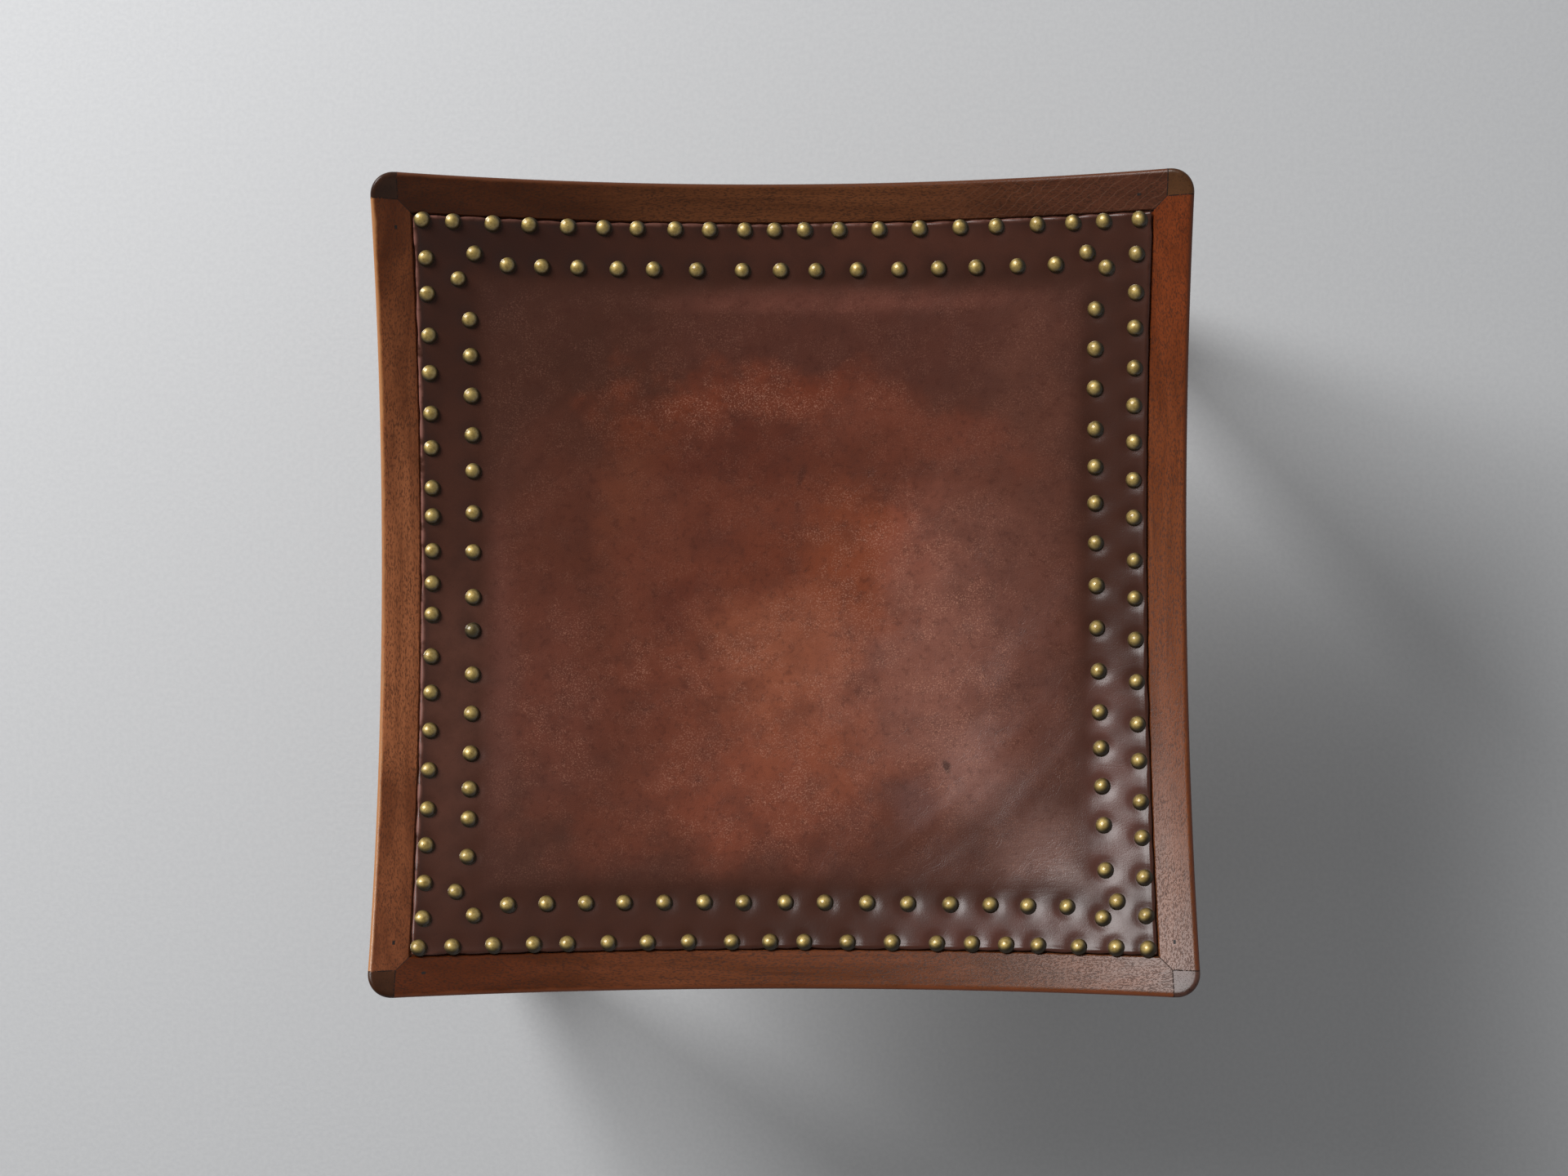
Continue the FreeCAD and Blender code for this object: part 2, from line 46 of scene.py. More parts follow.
# Sizes of the solids
HALF = 0.240
SEAT_HEIGHT = 0.400
DIP = 0.051
RAIL_INNER = 0.202
BATTEN_INNER = 0.166
RAIL_DEPTH = 0.052
TOP_MID = SEAT_HEIGHT - DIP
UNDER_MID = TOP_MID - RAIL_DEPTH
UNDER_DIP = 0.040
BATTEN_DEPTH = 0.020
SPARE = 0.0003
BORDER = 0.0224
REBATE = 0.002
CORNER_RADIUS = 0.0145
ARRIS = 0.0036
POST_SIDE = 0.0151
HEAD_LENGTH = 0.045
FOOT_SIDE = 0.026
FOOT_INSET = 0.008
FOOT_BEVEL = 0.0015
LEG_EDGE = 0.0025
LEATHER_GAP = 0.0005
LEATHER_HALF = HALF - BORDER - LEATHER_GAP
LEATHER_THICK = 0.003
LEATHER_TOP_MID = TOP_MID - REBATE + SPARE + LEATHER_THICK
PAD_EDGE = 0.1823
PAD_CROWN = 0.005
ROLL = 0.060
STRAP_WIDTH = 0.050
STRAP_THICK = 0.0016
STRAP_OUTER = 0.120
STRAP_LAP = 0.022
STRAP_MID = TOP_MID - REBATE - BATTEN_DEPTH - SPARE - STRAP_THICK / 2
WEAVE = 0.00095
WEBBING_SAG = 0.007
HESSIAN_THICK = 0.0008
NAIL_RADIUS = 0.00475
DOME_ANGLE = math.radians(66)
NAIL_BALL = NAIL_RADIUS / math.sin(DOME_ANGLE)

SIDES = ("front", "right", "back", "left")
CORNERS = ("front_left", "front_right", "back_right", "back_left")

# The ball on which the seat lies, and the arc of the rails' undersides
EDGE_RADIUS = (HALF**2 + DIP**2) / (2 * DIP)
DISH_RADIUS = math.hypot(EDGE_RADIUS, HALF)
UNDER_RADIUS = (HALF**2 + UNDER_DIP**2) / (2 * UNDER_DIP)


def dish(x, y):
    """Height of the dish above the middles of the seat's outer edges."""
    return EDGE_RADIUS - np.sqrt(DISH_RADIUS**2 - np.square(x) - np.square(y))


def under_rise(along):
    """Height of a rail's underside above its middle."""
    return UNDER_RADIUS - math.sqrt(UNDER_RADIUS**2 - along**2)


SHOULDER = UNDER_MID + under_rise(RAIL_INNER)


# Meshes


def turned(points, quarters):
    """Points turned about the upright axis by quarters of a turn."""
    c, s = ((1, 0), (0, 1), (-1, 0), (0, -1))[quarters % 4]
    p = np.asarray(points, float)
    return np.stack([p[:, 0] * c - p[:, 1] * s, p[:, 0] * s + p[:, 1] * c, p[:, 2]], 1)


def grid_faces(rows, columns, start=0, around=False):
    """Quads over rows of points, each row closed on itself if asked."""
    faces = []
    last = columns if around else columns - 1
    for i in range(rows - 1):
        for j in range(last):
            k = (j + 1) % columns
            a = start + i * columns
            b = a + columns
            faces.append((a + j, a + k, b + k, b + j))
    return faces


def shell_faces(rows, columns):
    """Faces of a closed sheet: a grid of points on top, the same grid below it, and a wall round both."""
    top = [face[::-1] for face in grid_faces(rows, columns)]
    total = rows * columns
    low = [tuple(total + i for i in face[::-1]) for face in top]
    ring = [i * columns for i in range(rows)] + [(rows - 1) * columns + j for j in range(1, columns)]
    ring += [i * columns + columns - 1 for i in range(rows - 2, -1, -1)] + list(range(columns - 2, 0, -1))
    wall = [(a, b, total + b, total + a) for a, b in zip(ring, ring[1:] + ring[:1])]
    return top + low + wall


def add_object(name, data):
    obj = bpy.data.objects.new(name, data)
    bpy.context.scene.collection.objects.link(obj)
    return obj


def points_of(mesh):
    """The places of a mesh's points, one in each row."""
    found = np.zeros(len(mesh.vertices) * 3)
    mesh.vertices.foreach_get("co", found)
    return found.reshape(-1, 3)


def piece(name, points, faces, material, replaced, angle):
    """A mesh object that rides on the stool and stands for CAD nodes, smooth below an angle in degrees."""
    mesh = bpy.data.meshes.new(name)
    mesh.from_pydata(np.asarray(points).tolist(), [], faces)
    mesh.validate()
    mesh.update()
    mesh.shade_smooth()
    mesh.set_sharp_from_angle(angle=math.radians(angle))
    mesh.materials.append(material)
    obj = add_object(name, mesh)
    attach(obj, "root")
    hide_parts(*replaced)
    return obj


def clean(obj, distance):
    """Joins points that lie together and turns all faces outward."""
    work = bmesh.new()
    work.from_mesh(obj.data)
    bmesh.ops.remove_doubles(work, verts=work.verts, dist=distance)
    bmesh.ops.recalc_face_normals(work, faces=work.faces)
    work.to_mesh(obj.data)
    work.free()


def attribute(obj, name, values):
    """A value at each point of a mesh, which its material reads."""
    layer = obj.data.attributes.new(name, "FLOAT", "POINT")
    layer.data.foreach_set("value", np.asarray(values, np.float32))


# Node materials


def new_material(name):
    """An empty material, its tree and its shader."""
    material = bpy.data.materials.new(name)
    material.use_nodes = True
    return material, material.node_tree, material.node_tree.nodes["Principled BSDF"]


def node(tree, kind, inputs=None, **settings):
    """A shader node with its settings, its inputs linked to sockets or set to values."""
    made = tree.nodes.new("ShaderNode" + kind)
    for key, value in settings.items():
        setattr(made, key, value)
    for key, value in (inputs or {}).items():
        if isinstance(value, bpy.types.NodeSocket):
            tree.links.new(value, made.inputs[key])
        else:
            made.inputs[key].default_value = value
    return made


def calc(tree, operation, a, b=0.0):
    return node(tree, "Math", {0: a, 1: b}, operation=operation).outputs[0]


def plus(tree, a, b):
    return calc(tree, "ADD", a, b)


def less(tree, a, b):
    return calc(tree, "SUBTRACT", a, b)


def times(tree, *factors):
    product = factors[0]
    for factor in factors[1:]:
        product = calc(tree, "MULTIPLY", product, factor)
    return product


def span(tree, value, low, high, to_low=0.0, to_high=1.0, smooth=True):
    """Maps a value from one span to another and holds it at both ends."""
    kind = "SMOOTHSTEP" if smooth else "LINEAR"
    made = node(tree, "MapRange", {"Value": value, "From Min": low, "From Max": high,
                                   "To Min": to_low, "To Max": to_high}, interpolation_type=kind)
    return made.outputs[0]


def blend(tree, factor, a, b, kind="MIX"):
    made = node(tree, "Mix", {0: factor}, data_type="RGBA", blend_type=kind)
    for key, value in ((6, a), (7, b)):
        if isinstance(value, bpy.types.NodeSocket):
            tree.links.new(value, made.inputs[key])
        else:
            made.inputs[key].default_value = (*value, 1.0)
    return made.outputs[2]


def place(tree, quarters=0, offset=(0, 0, 0), stretch=(1, 1, 1)):
    """Object coordinates, turned so that X runs along the piece."""
    source = node(tree, "TexCoord").outputs["Object"]
    turn = node(tree, "Mapping", {"Vector": source, "Rotation": (0, 0, -math.pi / 2 * quarters)})
    return node(tree, "Mapping", {"Vector": turn.outputs[0], "Location": offset, "Scale": stretch}).outputs[0]


def noise(tree, vector, scale, detail=3.0, roughness=0.5, distortion=0.0):
    made = node(tree, "TexNoise", {"Vector": vector, "Scale": scale, "Detail": detail,
                                   "Roughness": roughness, "Distortion": distortion})
    return made.outputs["Fac"]


def reading(tree, name):
    return node(tree, "Attribute", attribute_name=name).outputs["Fac"]


def length_of(tree, vector):
    return node(tree, "VectorMath", {0: vector}, operation="LENGTH").outputs["Value"]


def axis_of(tree, vector, axis):
    return node(tree, "SeparateXYZ", {0: vector}).outputs[axis]


def finish_surface(tree, shader, colour, roughness, height, depth, strength=1.0):
    """Links colour, roughness and a bump of the given depth in metres."""
    tree.links.new(colour, shader.inputs["Base Color"])
    if isinstance(roughness, bpy.types.NodeSocket):
        tree.links.new(roughness, shader.inputs["Roughness"])
    else:
        shader.inputs["Roughness"].default_value = roughness
    bump = node(tree, "Bump", {"Height": height, "Distance": depth, "Strength": strength})
    tree.links.new(bump.outputs[0], shader.inputs["Normal"])


RAIL_SHINE = 0.240
JOINT_DARK = (0.012, 0.006, 0.004)
RING_LINE_PALE = (0.235, 0.120, 0.075)


def wood(name, quarters, offset, dark, light, near_start, near_end, arris, ring_lines):
    """Oiled hardwood: soft figure, fine dark pores, a worn outer edge that is also a painted highlight on the
    left rail, end tints that are partly painted sheen, and dark joint lines.
    """
    material, tree, shader = new_material(name)
    where = place(tree, quarters)
    moved = place(tree, quarters, offset)
    along, outward = axis_of(tree, where, 0), times(tree, axis_of(tree, where, 1), -1.0)
    slow = noise(tree, place(tree, quarters, offset, (3.0, 55, 55)), 1.0, 5.0, 0.55, 0.5)
    colour = blend(tree, span(tree, slow, 0.32, 0.68), dark, light)
    wander = times(tree, less(tree, noise(tree, moved, 14.0), 0.5), 0.12)
    along_wandering = plus(tree, along, wander)
    # Tints near the rail's ends: partly the board's own colour, partly painted sheen towards the front right
    # corner
    colour = blend(tree, span(tree, along_wandering, -0.02, -0.2), colour, near_start, "MULTIPLY")
    colour = blend(tree, span(tree, along_wandering, 0.02, 0.2), colour, near_end, "MULTIPLY")
    streaks = noise(tree, place(tree, quarters, offset, (16, 520, 520)), 1.0, 3.0, 0.6)
    colour = blend(tree, span(tree, streaks, 0.48, 0.70, 0.0, 0.42), colour, tuple(0.55 * v for v in dark))
    fine = noise(tree, place(tree, quarters, offset, (420, 1400, 1400)), 1.0, 2.5, 0.55)
    patchy = noise(tree, moved, 55.0, 3.0, 0.55)
    pores = times(tree, span(tree, fine, 0.48, 0.61), span(tree, patchy, 0.25, 0.6, 0.55, 1.0))
    colour = blend(tree, times(tree, pores, 0.70), colour, tuple(0.32 * v for v in dark))
    if ring_lines:
        lines = node(tree, "TexWave", {"Vector": place(tree, quarters, (0.012, 0.0, 0.0), (1.0, -1.3, 0.0)),
                                       "Scale": 92.0, "Distortion": 6.0, "Detail": 3.0, "Detail Scale": 0.7},
                     wave_type="BANDS", bands_direction="DIAGONAL").outputs["Fac"]
        thin = times(tree, span(tree, lines, 0.94, 0.998), span(tree, fine, 0.34, 0.52))
        at_end = span(tree, along_wandering, -0.06, -0.15)
        thin = times(tree, thin, at_end, ring_lines)
        colour = blend(tree, thin, colour, RING_LINE_PALE)
    # The outer edge: worn, and on the left rail, which faces the light, painted paler as a highlight too
    crumble = times(tree, noise(tree, moved, 70.0, 4.0, 0.6), 0.0030)
    edge = span(tree, plus(tree, outward, crumble), HALF - 0.0018, HALF + 0.0004)
    high = span(tree, axis_of(tree, where, 2), SHOULDER + 0.01, SHOULDER + 0.03)
    colour = blend(tree, times(tree, edge, high, 0.9), colour, arris)
    away = calc(tree, "ABSOLUTE", along)
    ends = span(tree, away, HALF - POST_SIDE - 0.0009, HALF - POST_SIDE - 0.0003)
    beside_post = span(tree, outward, HALF - POST_SIDE - 0.0006, HALF - POST_SIDE - 0.0002)
    ragged = span(tree, noise(tree, moved, 700.0, 2.0), 0.32, 0.5)
    glue = times(tree, ends, beside_post, ragged)
    mitre = calc(tree, "ABSOLUTE", less(tree, away, outward))
    seam = times(tree, span(tree, mitre, 0.00055, 0.00020), 0.8)
    joints = calc(tree, "MAXIMUM", glue, seam)
    colour = blend(tree, joints, colour, JOINT_DARK)
    rough = span(tree, slow, 0.2, 0.8, RAIL_SHINE - 0.03, RAIL_SHINE + 0.05, False)
    rough = plus(tree, rough, times(tree, pores, 0.17))
    rough = calc(tree, "MAXIMUM", rough, times(tree, joints, 0.9))
    height = less(tree, times(tree, slow, 0.3), pores)
    finish_surface(tree, shader, colour, rough, height, 0.00006, 0.40)
    shader.inputs["Specular IOR Level"].default_value = 0.23
    return material


def end_grain(name, offset, dark, light, shine):
    """A leg: fibres run up it, so its top shows small round pores."""
    material, tree, shader = new_material(name)
    slow = noise(tree, place(tree, 0, offset, (60, 60, 3)), 1.0, 4.0, 0.55, 0.4)
    colour = blend(tree, span(tree, slow, 0.3, 0.7), dark, light)
    fine = noise(tree, place(tree, 0, offset, (1500, 1500, 90)), 1.0, 2.0, 0.5)
    pores = span(tree, fine, 0.56, 0.7)
    colour = blend(tree, times(tree, pores, 0.6), colour, tuple(0.3 * v for v in dark))
    low = span(tree, axis_of(tree, place(tree), 2), SHOULDER + 0.072, SHOULDER + 0.03)
    colour = blend(tree, low, colour, tuple(2.1 * v for v in light))
    rough = span(tree, slow, 0.2, 0.8, shine - 0.03, shine + 0.05, False)
    finish_surface(tree, shader, colour, rough, times(tree, pores, -1.0), 0.00006, 0.4)
    shader.inputs["Specular IOR Level"].default_value = 0.25
    return material


def plain_wood(name, quarters, offset):
    """Raw sawn wood, grimy in places."""
    material, tree, shader = new_material(name)
    slow = noise(tree, place(tree, quarters, offset, (4, 70, 70)), 1.0, 5.0, 0.6, 0.4)
    saw = noise(tree, place(tree, quarters, offset, (700, 20, 20)), 1.0, 2.0)
    colour = blend(tree, span(tree, slow, 0.3, 0.7), (0.22, 0.125, 0.06), (0.40, 0.26, 0.14))
    grime = noise(tree, place(tree, quarters, offset), 22.0, 4.0, 0.6)
    colour = blend(tree, span(tree, grime, 0.45, 0.75, 0.0, 0.7), colour, (0.10, 0.065, 0.04))
    height = plus(tree, slow, times(tree, saw, 0.5))
    finish_surface(tree, shader, colour, 0.75, height, 0.0003, 0.6)
    return material


def woven(name, pale, dark, threads):
    """Plain weave: two sets of threads that pass over and under each other."""
    material, tree, shader = new_material(name)
    where = place(tree)
    sines = [calc(tree, "SINE", times(tree, axis_of(tree, where, axis), math.pi * threads))
             for axis in (0, 1)]
    over = times(tree, sines[0], sines[1])
    ribs = [calc(tree, "ABSOLUTE", s) for s in sines]
    weave = plus(tree, calc(tree, "MAXIMUM", ribs[0], ribs[1]), times(tree, over, 0.35))
    slub = noise(tree, where, 260.0, 3.0, 0.6)
    colour = blend(tree, span(tree, weave, 0.35, 1.2), dark, pale)
    colour = blend(tree, span(tree, slub, 0.5, 0.75, 0.0, 0.5), colour, tuple(0.7 * v for v in pale))
    grime = noise(tree, where, 18.0, 4.0, 0.6)
    colour = blend(tree, span(tree, grime, 0.4, 0.75, 0.0, 0.55), colour, tuple(0.45 * v for v in pale))
    finish_surface(tree, shader, colour, 0.85, plus(tree, weave, slub), 0.0004, 0.8)
    shader.inputs["Sheen Weight"].default_value = 0.2
    return material


def old_metal(name, colour, rust, roughness):
    material, tree, shader = new_material(name)
    patches = noise(tree, place(tree), 420.0, 4.0, 0.6)
    mixed = blend(tree, span(tree, patches, 0.45, 0.65), colour, rust)
    finish_surface(tree, shader, mixed, roughness, patches, 0.0001, 0.5)
    shader.inputs["Metallic"].default_value = 0.8
    return material


def brass():
    """Aged brass: a soft warm glow under a thin hard shine, with pits, and a dark rim that is partly grime
    and partly painted shade, deepest on the side away from the light.
    """
    material, tree, shader = new_material("aged_brass")
    where = place(tree)
    rim, shade = reading(tree, "rim"), reading(tree, "shade")
    cloud = noise(tree, where, 330.0, 4.0, 0.6)
    colour = blend(tree, span(tree, cloud, 0.35, 0.7), (0.49, 0.365, 0.130), (0.30, 0.208, 0.060))
    # Darker towards the rim: partly grime, partly painted shade, most at the lower right, away from the light
    colour = blend(tree, span(tree, rim, 0.50, 1.02, 0.0, 0.97), colour, (0.030, 0.018, 0.008))
    pits = noise(tree, where, 1500.0, 2.0, 0.6)
    colour = blend(tree, span(tree, pits, 0.64, 0.70, 0.0, 0.8), colour, (0.06, 0.04, 0.02))
    colour = blend(tree, shade, colour, (0.030, 0.022, 0.014))
    rough = span(tree, cloud, 0.3, 0.7, 0.60, 0.72)
    finish_surface(tree, shader, colour, rough, plus(tree, cloud, pits), 0.00008, 0.25)
    shader.inputs["Metallic"].default_value = 1.0
    shader.inputs["Coat Weight"].default_value = 0.8
    shader.inputs["Coat Roughness"].default_value = 0.15
    return material


# Patches of the hide: middle X and Y, half widths, turn in degrees, colour, strength. Most are the hide's own
# colour; the greyish band at the right is painted sheen
PATCHES = (
    (0.00, -0.01, 0.165, 0.165, 0, (0.138, 0.038, 0.021), 1.0),
    (-0.115, 0.130, 0.075, 0.060, 0, (0.066, 0.023, 0.014), 0.85),
    (0.060, 0.150, 0.150, 0.035, 0, (0.082, 0.026, 0.017), 0.85),
    (0.150, 0.070, 0.030, 0.110, 0, (0.110, 0.038, 0.024), 0.8),
    (-0.135, -0.010, 0.035, 0.120, 0, (0.096, 0.028, 0.016), 0.75),
    (-0.020, 0.112, 0.085, 0.022, 4, (0.165, 0.037, 0.017), 0.75),
    (-0.082, 0.098, 0.030, 0.030, 0, (0.150, 0.036, 0.016), 0.6),
    (0.075, 0.092, 0.075, 0.022, -6, (0.150, 0.040, 0.022), 0.7),
    (-0.025, 0.075, 0.050, 0.020, 0, (0.095, 0.024, 0.014), 0.8),
    (0.045, 0.062, 0.050, 0.024, 8, (0.092, 0.026, 0.015), 0.75),
    (-0.100, 0.050, 0.022, 0.030, 0, (0.155, 0.044, 0.022), 0.6),
    (0.000, 0.020, 0.075, 0.055, 20, (0.138, 0.034, 0.017), 0.7),
    (0.045, 0.010, 0.040, 0.055, -10, (0.215, 0.053, 0.022), 0.7),
    (-0.055, -0.012, 0.028, 0.020, 0, (0.105, 0.027, 0.016), 0.75),
    (0.000, -0.045, 0.060, 0.045, -25, (0.258, 0.078, 0.040), 0.85),
    (-0.060, -0.050, 0.045, 0.030, 0, (0.165, 0.045, 0.024), 0.6),
    (-0.090, -0.075, 0.035, 0.030, 30, (0.125, 0.034, 0.019), 0.6),
    (-0.020, -0.125, 0.070, 0.040, 0, (0.200, 0.052, 0.027), 0.75),
    (0.020, -0.095, 0.060, 0.035, 0, (0.245, 0.068, 0.033), 0.6),
    (-0.100, -0.140, 0.050, 0.030, 0, (0.135, 0.037, 0.020), 0.6),
    (0.078, 0.028, 0.030, 0.035, 0, (0.235, 0.062, 0.034), 0.75),
    (0.070, -0.060, 0.050, 0.050, 0, (0.200, 0.068, 0.044), 0.6),
    (0.098, -0.040, 0.045, 0.100, 0, (0.205, 0.078, 0.054), 0.75),
    (-0.045, 0.035, 0.022, 0.016, 30, (0.100, 0.027, 0.016), 0.6),
    # Painted sheen: a greyish band at the right, where the hide tilts towards the light
    (0.140, -0.040, 0.030, 0.095, 0, (0.135, 0.050, 0.035), 0.6),
    (-0.140, -0.065, 0.030, 0.075, 0, (0.165, 0.048, 0.030), 0.40),
)

# Narrow patches and marks on top of them; the pale band inside the left nails and the pale greyish patches
# towards the front right corner are painted sheen
NARROW_PATCHES = (
    (0.035, 0.173, 0.110, 0.010, 0, (0.150, 0.050, 0.034), 0.75),
    # Painted sheen: a pale band just inside the left nails
    (-0.173, -0.050, 0.014, 0.100, 0, (0.135, 0.047, 0.033), 0.6),
    # Painted sheen: a pale greyish patch right of the middle, towards the front
    (0.112, -0.112, 0.024, 0.030, 0, (0.230, 0.105, 0.082), 0.6),
    (0.078, -0.132, 0.015, 0.016, 0, (0.120, 0.050, 0.040), 0.7),
    (0.098, -0.110, 0.0032, 0.0045, 20, (0.040, 0.018, 0.014), 0.75),
    # Painted sheen: two pale greyish patches in the front right corner
    (0.150, -0.158, 0.030, 0.022, 40, (0.200, 0.105, 0.085), 0.55),
    (0.172, -0.176, 0.012, 0.016, 40, (0.260, 0.180, 0.160), 0.45),
    (0.012, 0.066, 0.0025, 0.008, -25, (0.050, 0.016, 0.011), 0.5),
)

# The same for the nailed strips
STRIP_PATCHES = (
    (-0.197, -0.070, 0.020, 0.115, 0, (0.100, 0.038, 0.025), 0.9),
    (-0.197, 0.055, 0.018, 0.065, 0, (0.068, 0.024, 0.015), 0.8),
    (0.060, 0.203, 0.110, 0.016, 0, (0.072, 0.024, 0.015), 0.8),
    (-0.170, 0.203, 0.060, 0.018, 0, (0.034, 0.012, 0.008), 0.7),
    (0.195, -0.120, 0.020, 0.080, 0, (0.105, 0.040, 0.030), 0.85),
    (0.130, -0.205, 0.080, 0.016, 0, (0.090, 0.031, 0.022), 0.8),
)


def painted(tree, where, patches, ground):
    """Soft-edged patches of colour over a ground, and where the pale ones lie, which are wear and in places
    painted sheen.
    """
    colour, pale_patches = blend(tree, 0.0, ground, (0, 0, 0)), None
    for x, y, half_x, half_y, turn, tint, strength in patches:
        local = node(tree, "Mapping", {"Vector": where, "Location": (x, y, 0),
                                       "Rotation": (0, 0, math.radians(turn)),
                                       "Scale": (half_x, half_y, 1000.0)}, vector_type="TEXTURE").outputs[0]
        inside = span(tree, length_of(tree, local), 1.35, 0.35, 0.0, strength)
        colour = blend(tree, inside, colour, tint)
        if tint[0] > 0.16:
            pale_patches = inside if pale_patches is None else calc(tree, "MAXIMUM", pale_patches, inside)
    return colour, pale_patches


def leather_material():
    """An old hide: dark nailed strips, worn red patches in the seat, fine grain and creases; some pale
    greyish patches are painted sheen, the rings round the nails are painted shade, and the pale rim is partly
    painted light.
    """
    material, tree, shader = new_material("old_leather")
    where = place(tree)
    lip, strip, dip = (reading(tree, name) for name in ("lip", "strip", "dip"))
    # Places that wander, so that the patches' edges are ragged
    warp = node(tree, "TexNoise", {"Vector": where, "Scale": 26.0, "Detail": 4.0, "Roughness": 0.6})
    shift = node(tree, "VectorMath", {0: warp.outputs["Color"], 1: (0.5, 0.5, 0.5)}, operation="SUBTRACT")
    scaled = [node(tree, "VectorMath", {0: shift.outputs[0], "Scale": reach}, operation="SCALE")
              for reach in (0.075, 0.018)]
    far, near = (node(tree, "VectorMath", {0: where, 1: made.outputs[0]}, operation="ADD").outputs[0]
                 for made in scaled)
    colour, pale_patches = painted(tree, far, PATCHES, (0.070, 0.026, 0.017))
    colour = painted(tree, near, NARROW_PATCHES, colour)[0]
    cloud = noise(tree, where, 45.0, 6.0, 0.62)
    colour = blend(tree, span(tree, cloud, 0.42, 0.72, 0.0, 0.38), colour, (0.060, 0.018, 0.011))
    mottle = noise(tree, where, 210.0, 4.0, 0.7)
    colour = blend(tree, span(tree, mottle, 0.50, 0.68, 0.0, 0.35), colour, (0.050, 0.014, 0.009))
    border = painted(tree, near, STRIP_PATCHES, (0.052, 0.018, 0.011))[0]
    border = blend(tree, span(tree, cloud, 0.4, 0.7, 0.0, 0.4), border, (0.036, 0.013, 0.008))
    colour = blend(tree, strip, colour, border)
    fleck = noise(tree, where, 1150.0, 3.0, 0.65)
    many = noise(tree, where, 60.0, 3.0, 0.6)
    amount = times(tree, span(tree, fleck, 0.52, 0.64), span(tree, many, 0.38, 0.6))
    plenty = plus(tree, times(tree, pale_patches, 0.58), 0.15)
    plenty = times(tree, plenty, less(tree, 1.0, strip))
    amount = times(tree, amount, plenty)
    colour = blend(tree, amount, colour, (0.43, 0.20, 0.135))
    dark_specks = span(tree, noise(tree, where, 900.0, 3.0, 0.6), 0.58, 0.74, 0.0, 0.36)
    colour = blend(tree, dark_specks, colour, (0.035, 0.012, 0.008))
    # Painted shade: the hide darkened in a ring round each nail, where it dips
    colour = blend(tree, times(tree, dip, 0.26), colour, (0.030, 0.011, 0.007))
    to_light = less(tree, axis_of(tree, where, 1), axis_of(tree, where, 0))
    # The rim is painted pale at the left and the back, the sides that face the light: partly wear, partly
    # painted light. At the other sides it stays dark and is polished smoother
    facing = span(tree, to_light, -0.10, 0.10, 0.15, 1.0)
    at_left = span(tree, axis_of(tree, where, 0), -0.195, -0.210, 0.45, 1.0)
    pale_rim_wear_and_light = times(tree, lip, span(tree, noise(tree, where, 150.0, 3.0), 0.30, 0.55))
    pale_rim_wear_and_light = times(tree, pale_rim_wear_and_light, times(tree, facing, at_left))
    colour = blend(tree, times(tree, pale_rim_wear_and_light, 0.85), colour, (0.230, 0.095, 0.072))
    cells = node(tree, "TexVoronoi", {"Vector": where, "Scale": 820.0}, feature="DISTANCE_TO_EDGE")
    pebble = span(tree, cells.outputs["Distance"], 0.0, 0.35)
    fine = noise(tree, where, 1700.0, 3.0, 0.6)
    crease = node(tree, "TexNoise", {"Vector": where, "Scale": 34.0, "Detail": 5.0, "Roughness": 0.55,
                                     "Distortion": 1.2}).outputs["Fac"]
    line = span(tree, calc(tree, "ABSOLUTE", less(tree, crease, 0.5)), 0.0, 0.018)
    height = plus(tree, times(tree, pebble, 0.5), times(tree, fine, 0.7))
    height = plus(tree, height, times(tree, line, 0.5))
    height = times(tree, height, less(tree, 1.0, times(tree, strip, 0.6)))
    # Gathers that run up to the front right corner
    corner = node(tree, "Mapping", {"Vector": where, "Location": (0.152, -0.158, 0),
                                    "Scale": (0.042, 0.042, 1000.0)}, vector_type="TEXTURE").outputs[0]
    near_corner = span(tree, length_of(tree, corner), 1.0, 0.2)
    slanting = node(tree, "Mapping", {"Vector": where, "Rotation": (0, 0, math.radians(52)),
                                      "Scale": (75, 330, 75)}).outputs[0]
    gathers = noise(tree, slanting, 1.0, 3.0, 0.6, 0.3)
    height = plus(tree, height, times(tree, gathers, near_corner, 4.0))
    rough = plus(tree, span(tree, cloud, 0.35, 0.7, 0.29, 0.36), times(tree, strip, -0.03))
    polished = times(tree, lip, less(tree, 1.0, facing))
    rough = plus(tree, rough, times(tree, pale_rim_wear_and_light, 0.25))
    rough = less(tree, rough, times(tree, polished, 0.09))
    finish_surface(tree, shader, colour, rough, height, 0.00012, 0.45)
    shader.inputs["Specular IOR Level"].default_value = 0.27
    return material


# The frame: rails and legs

RAIL_SHARP = 25.0
LEG_SHARP = 50.0
ARRIS_STEPS = 7
RAIL_STATIONS = 73
END_STATIONS = 5
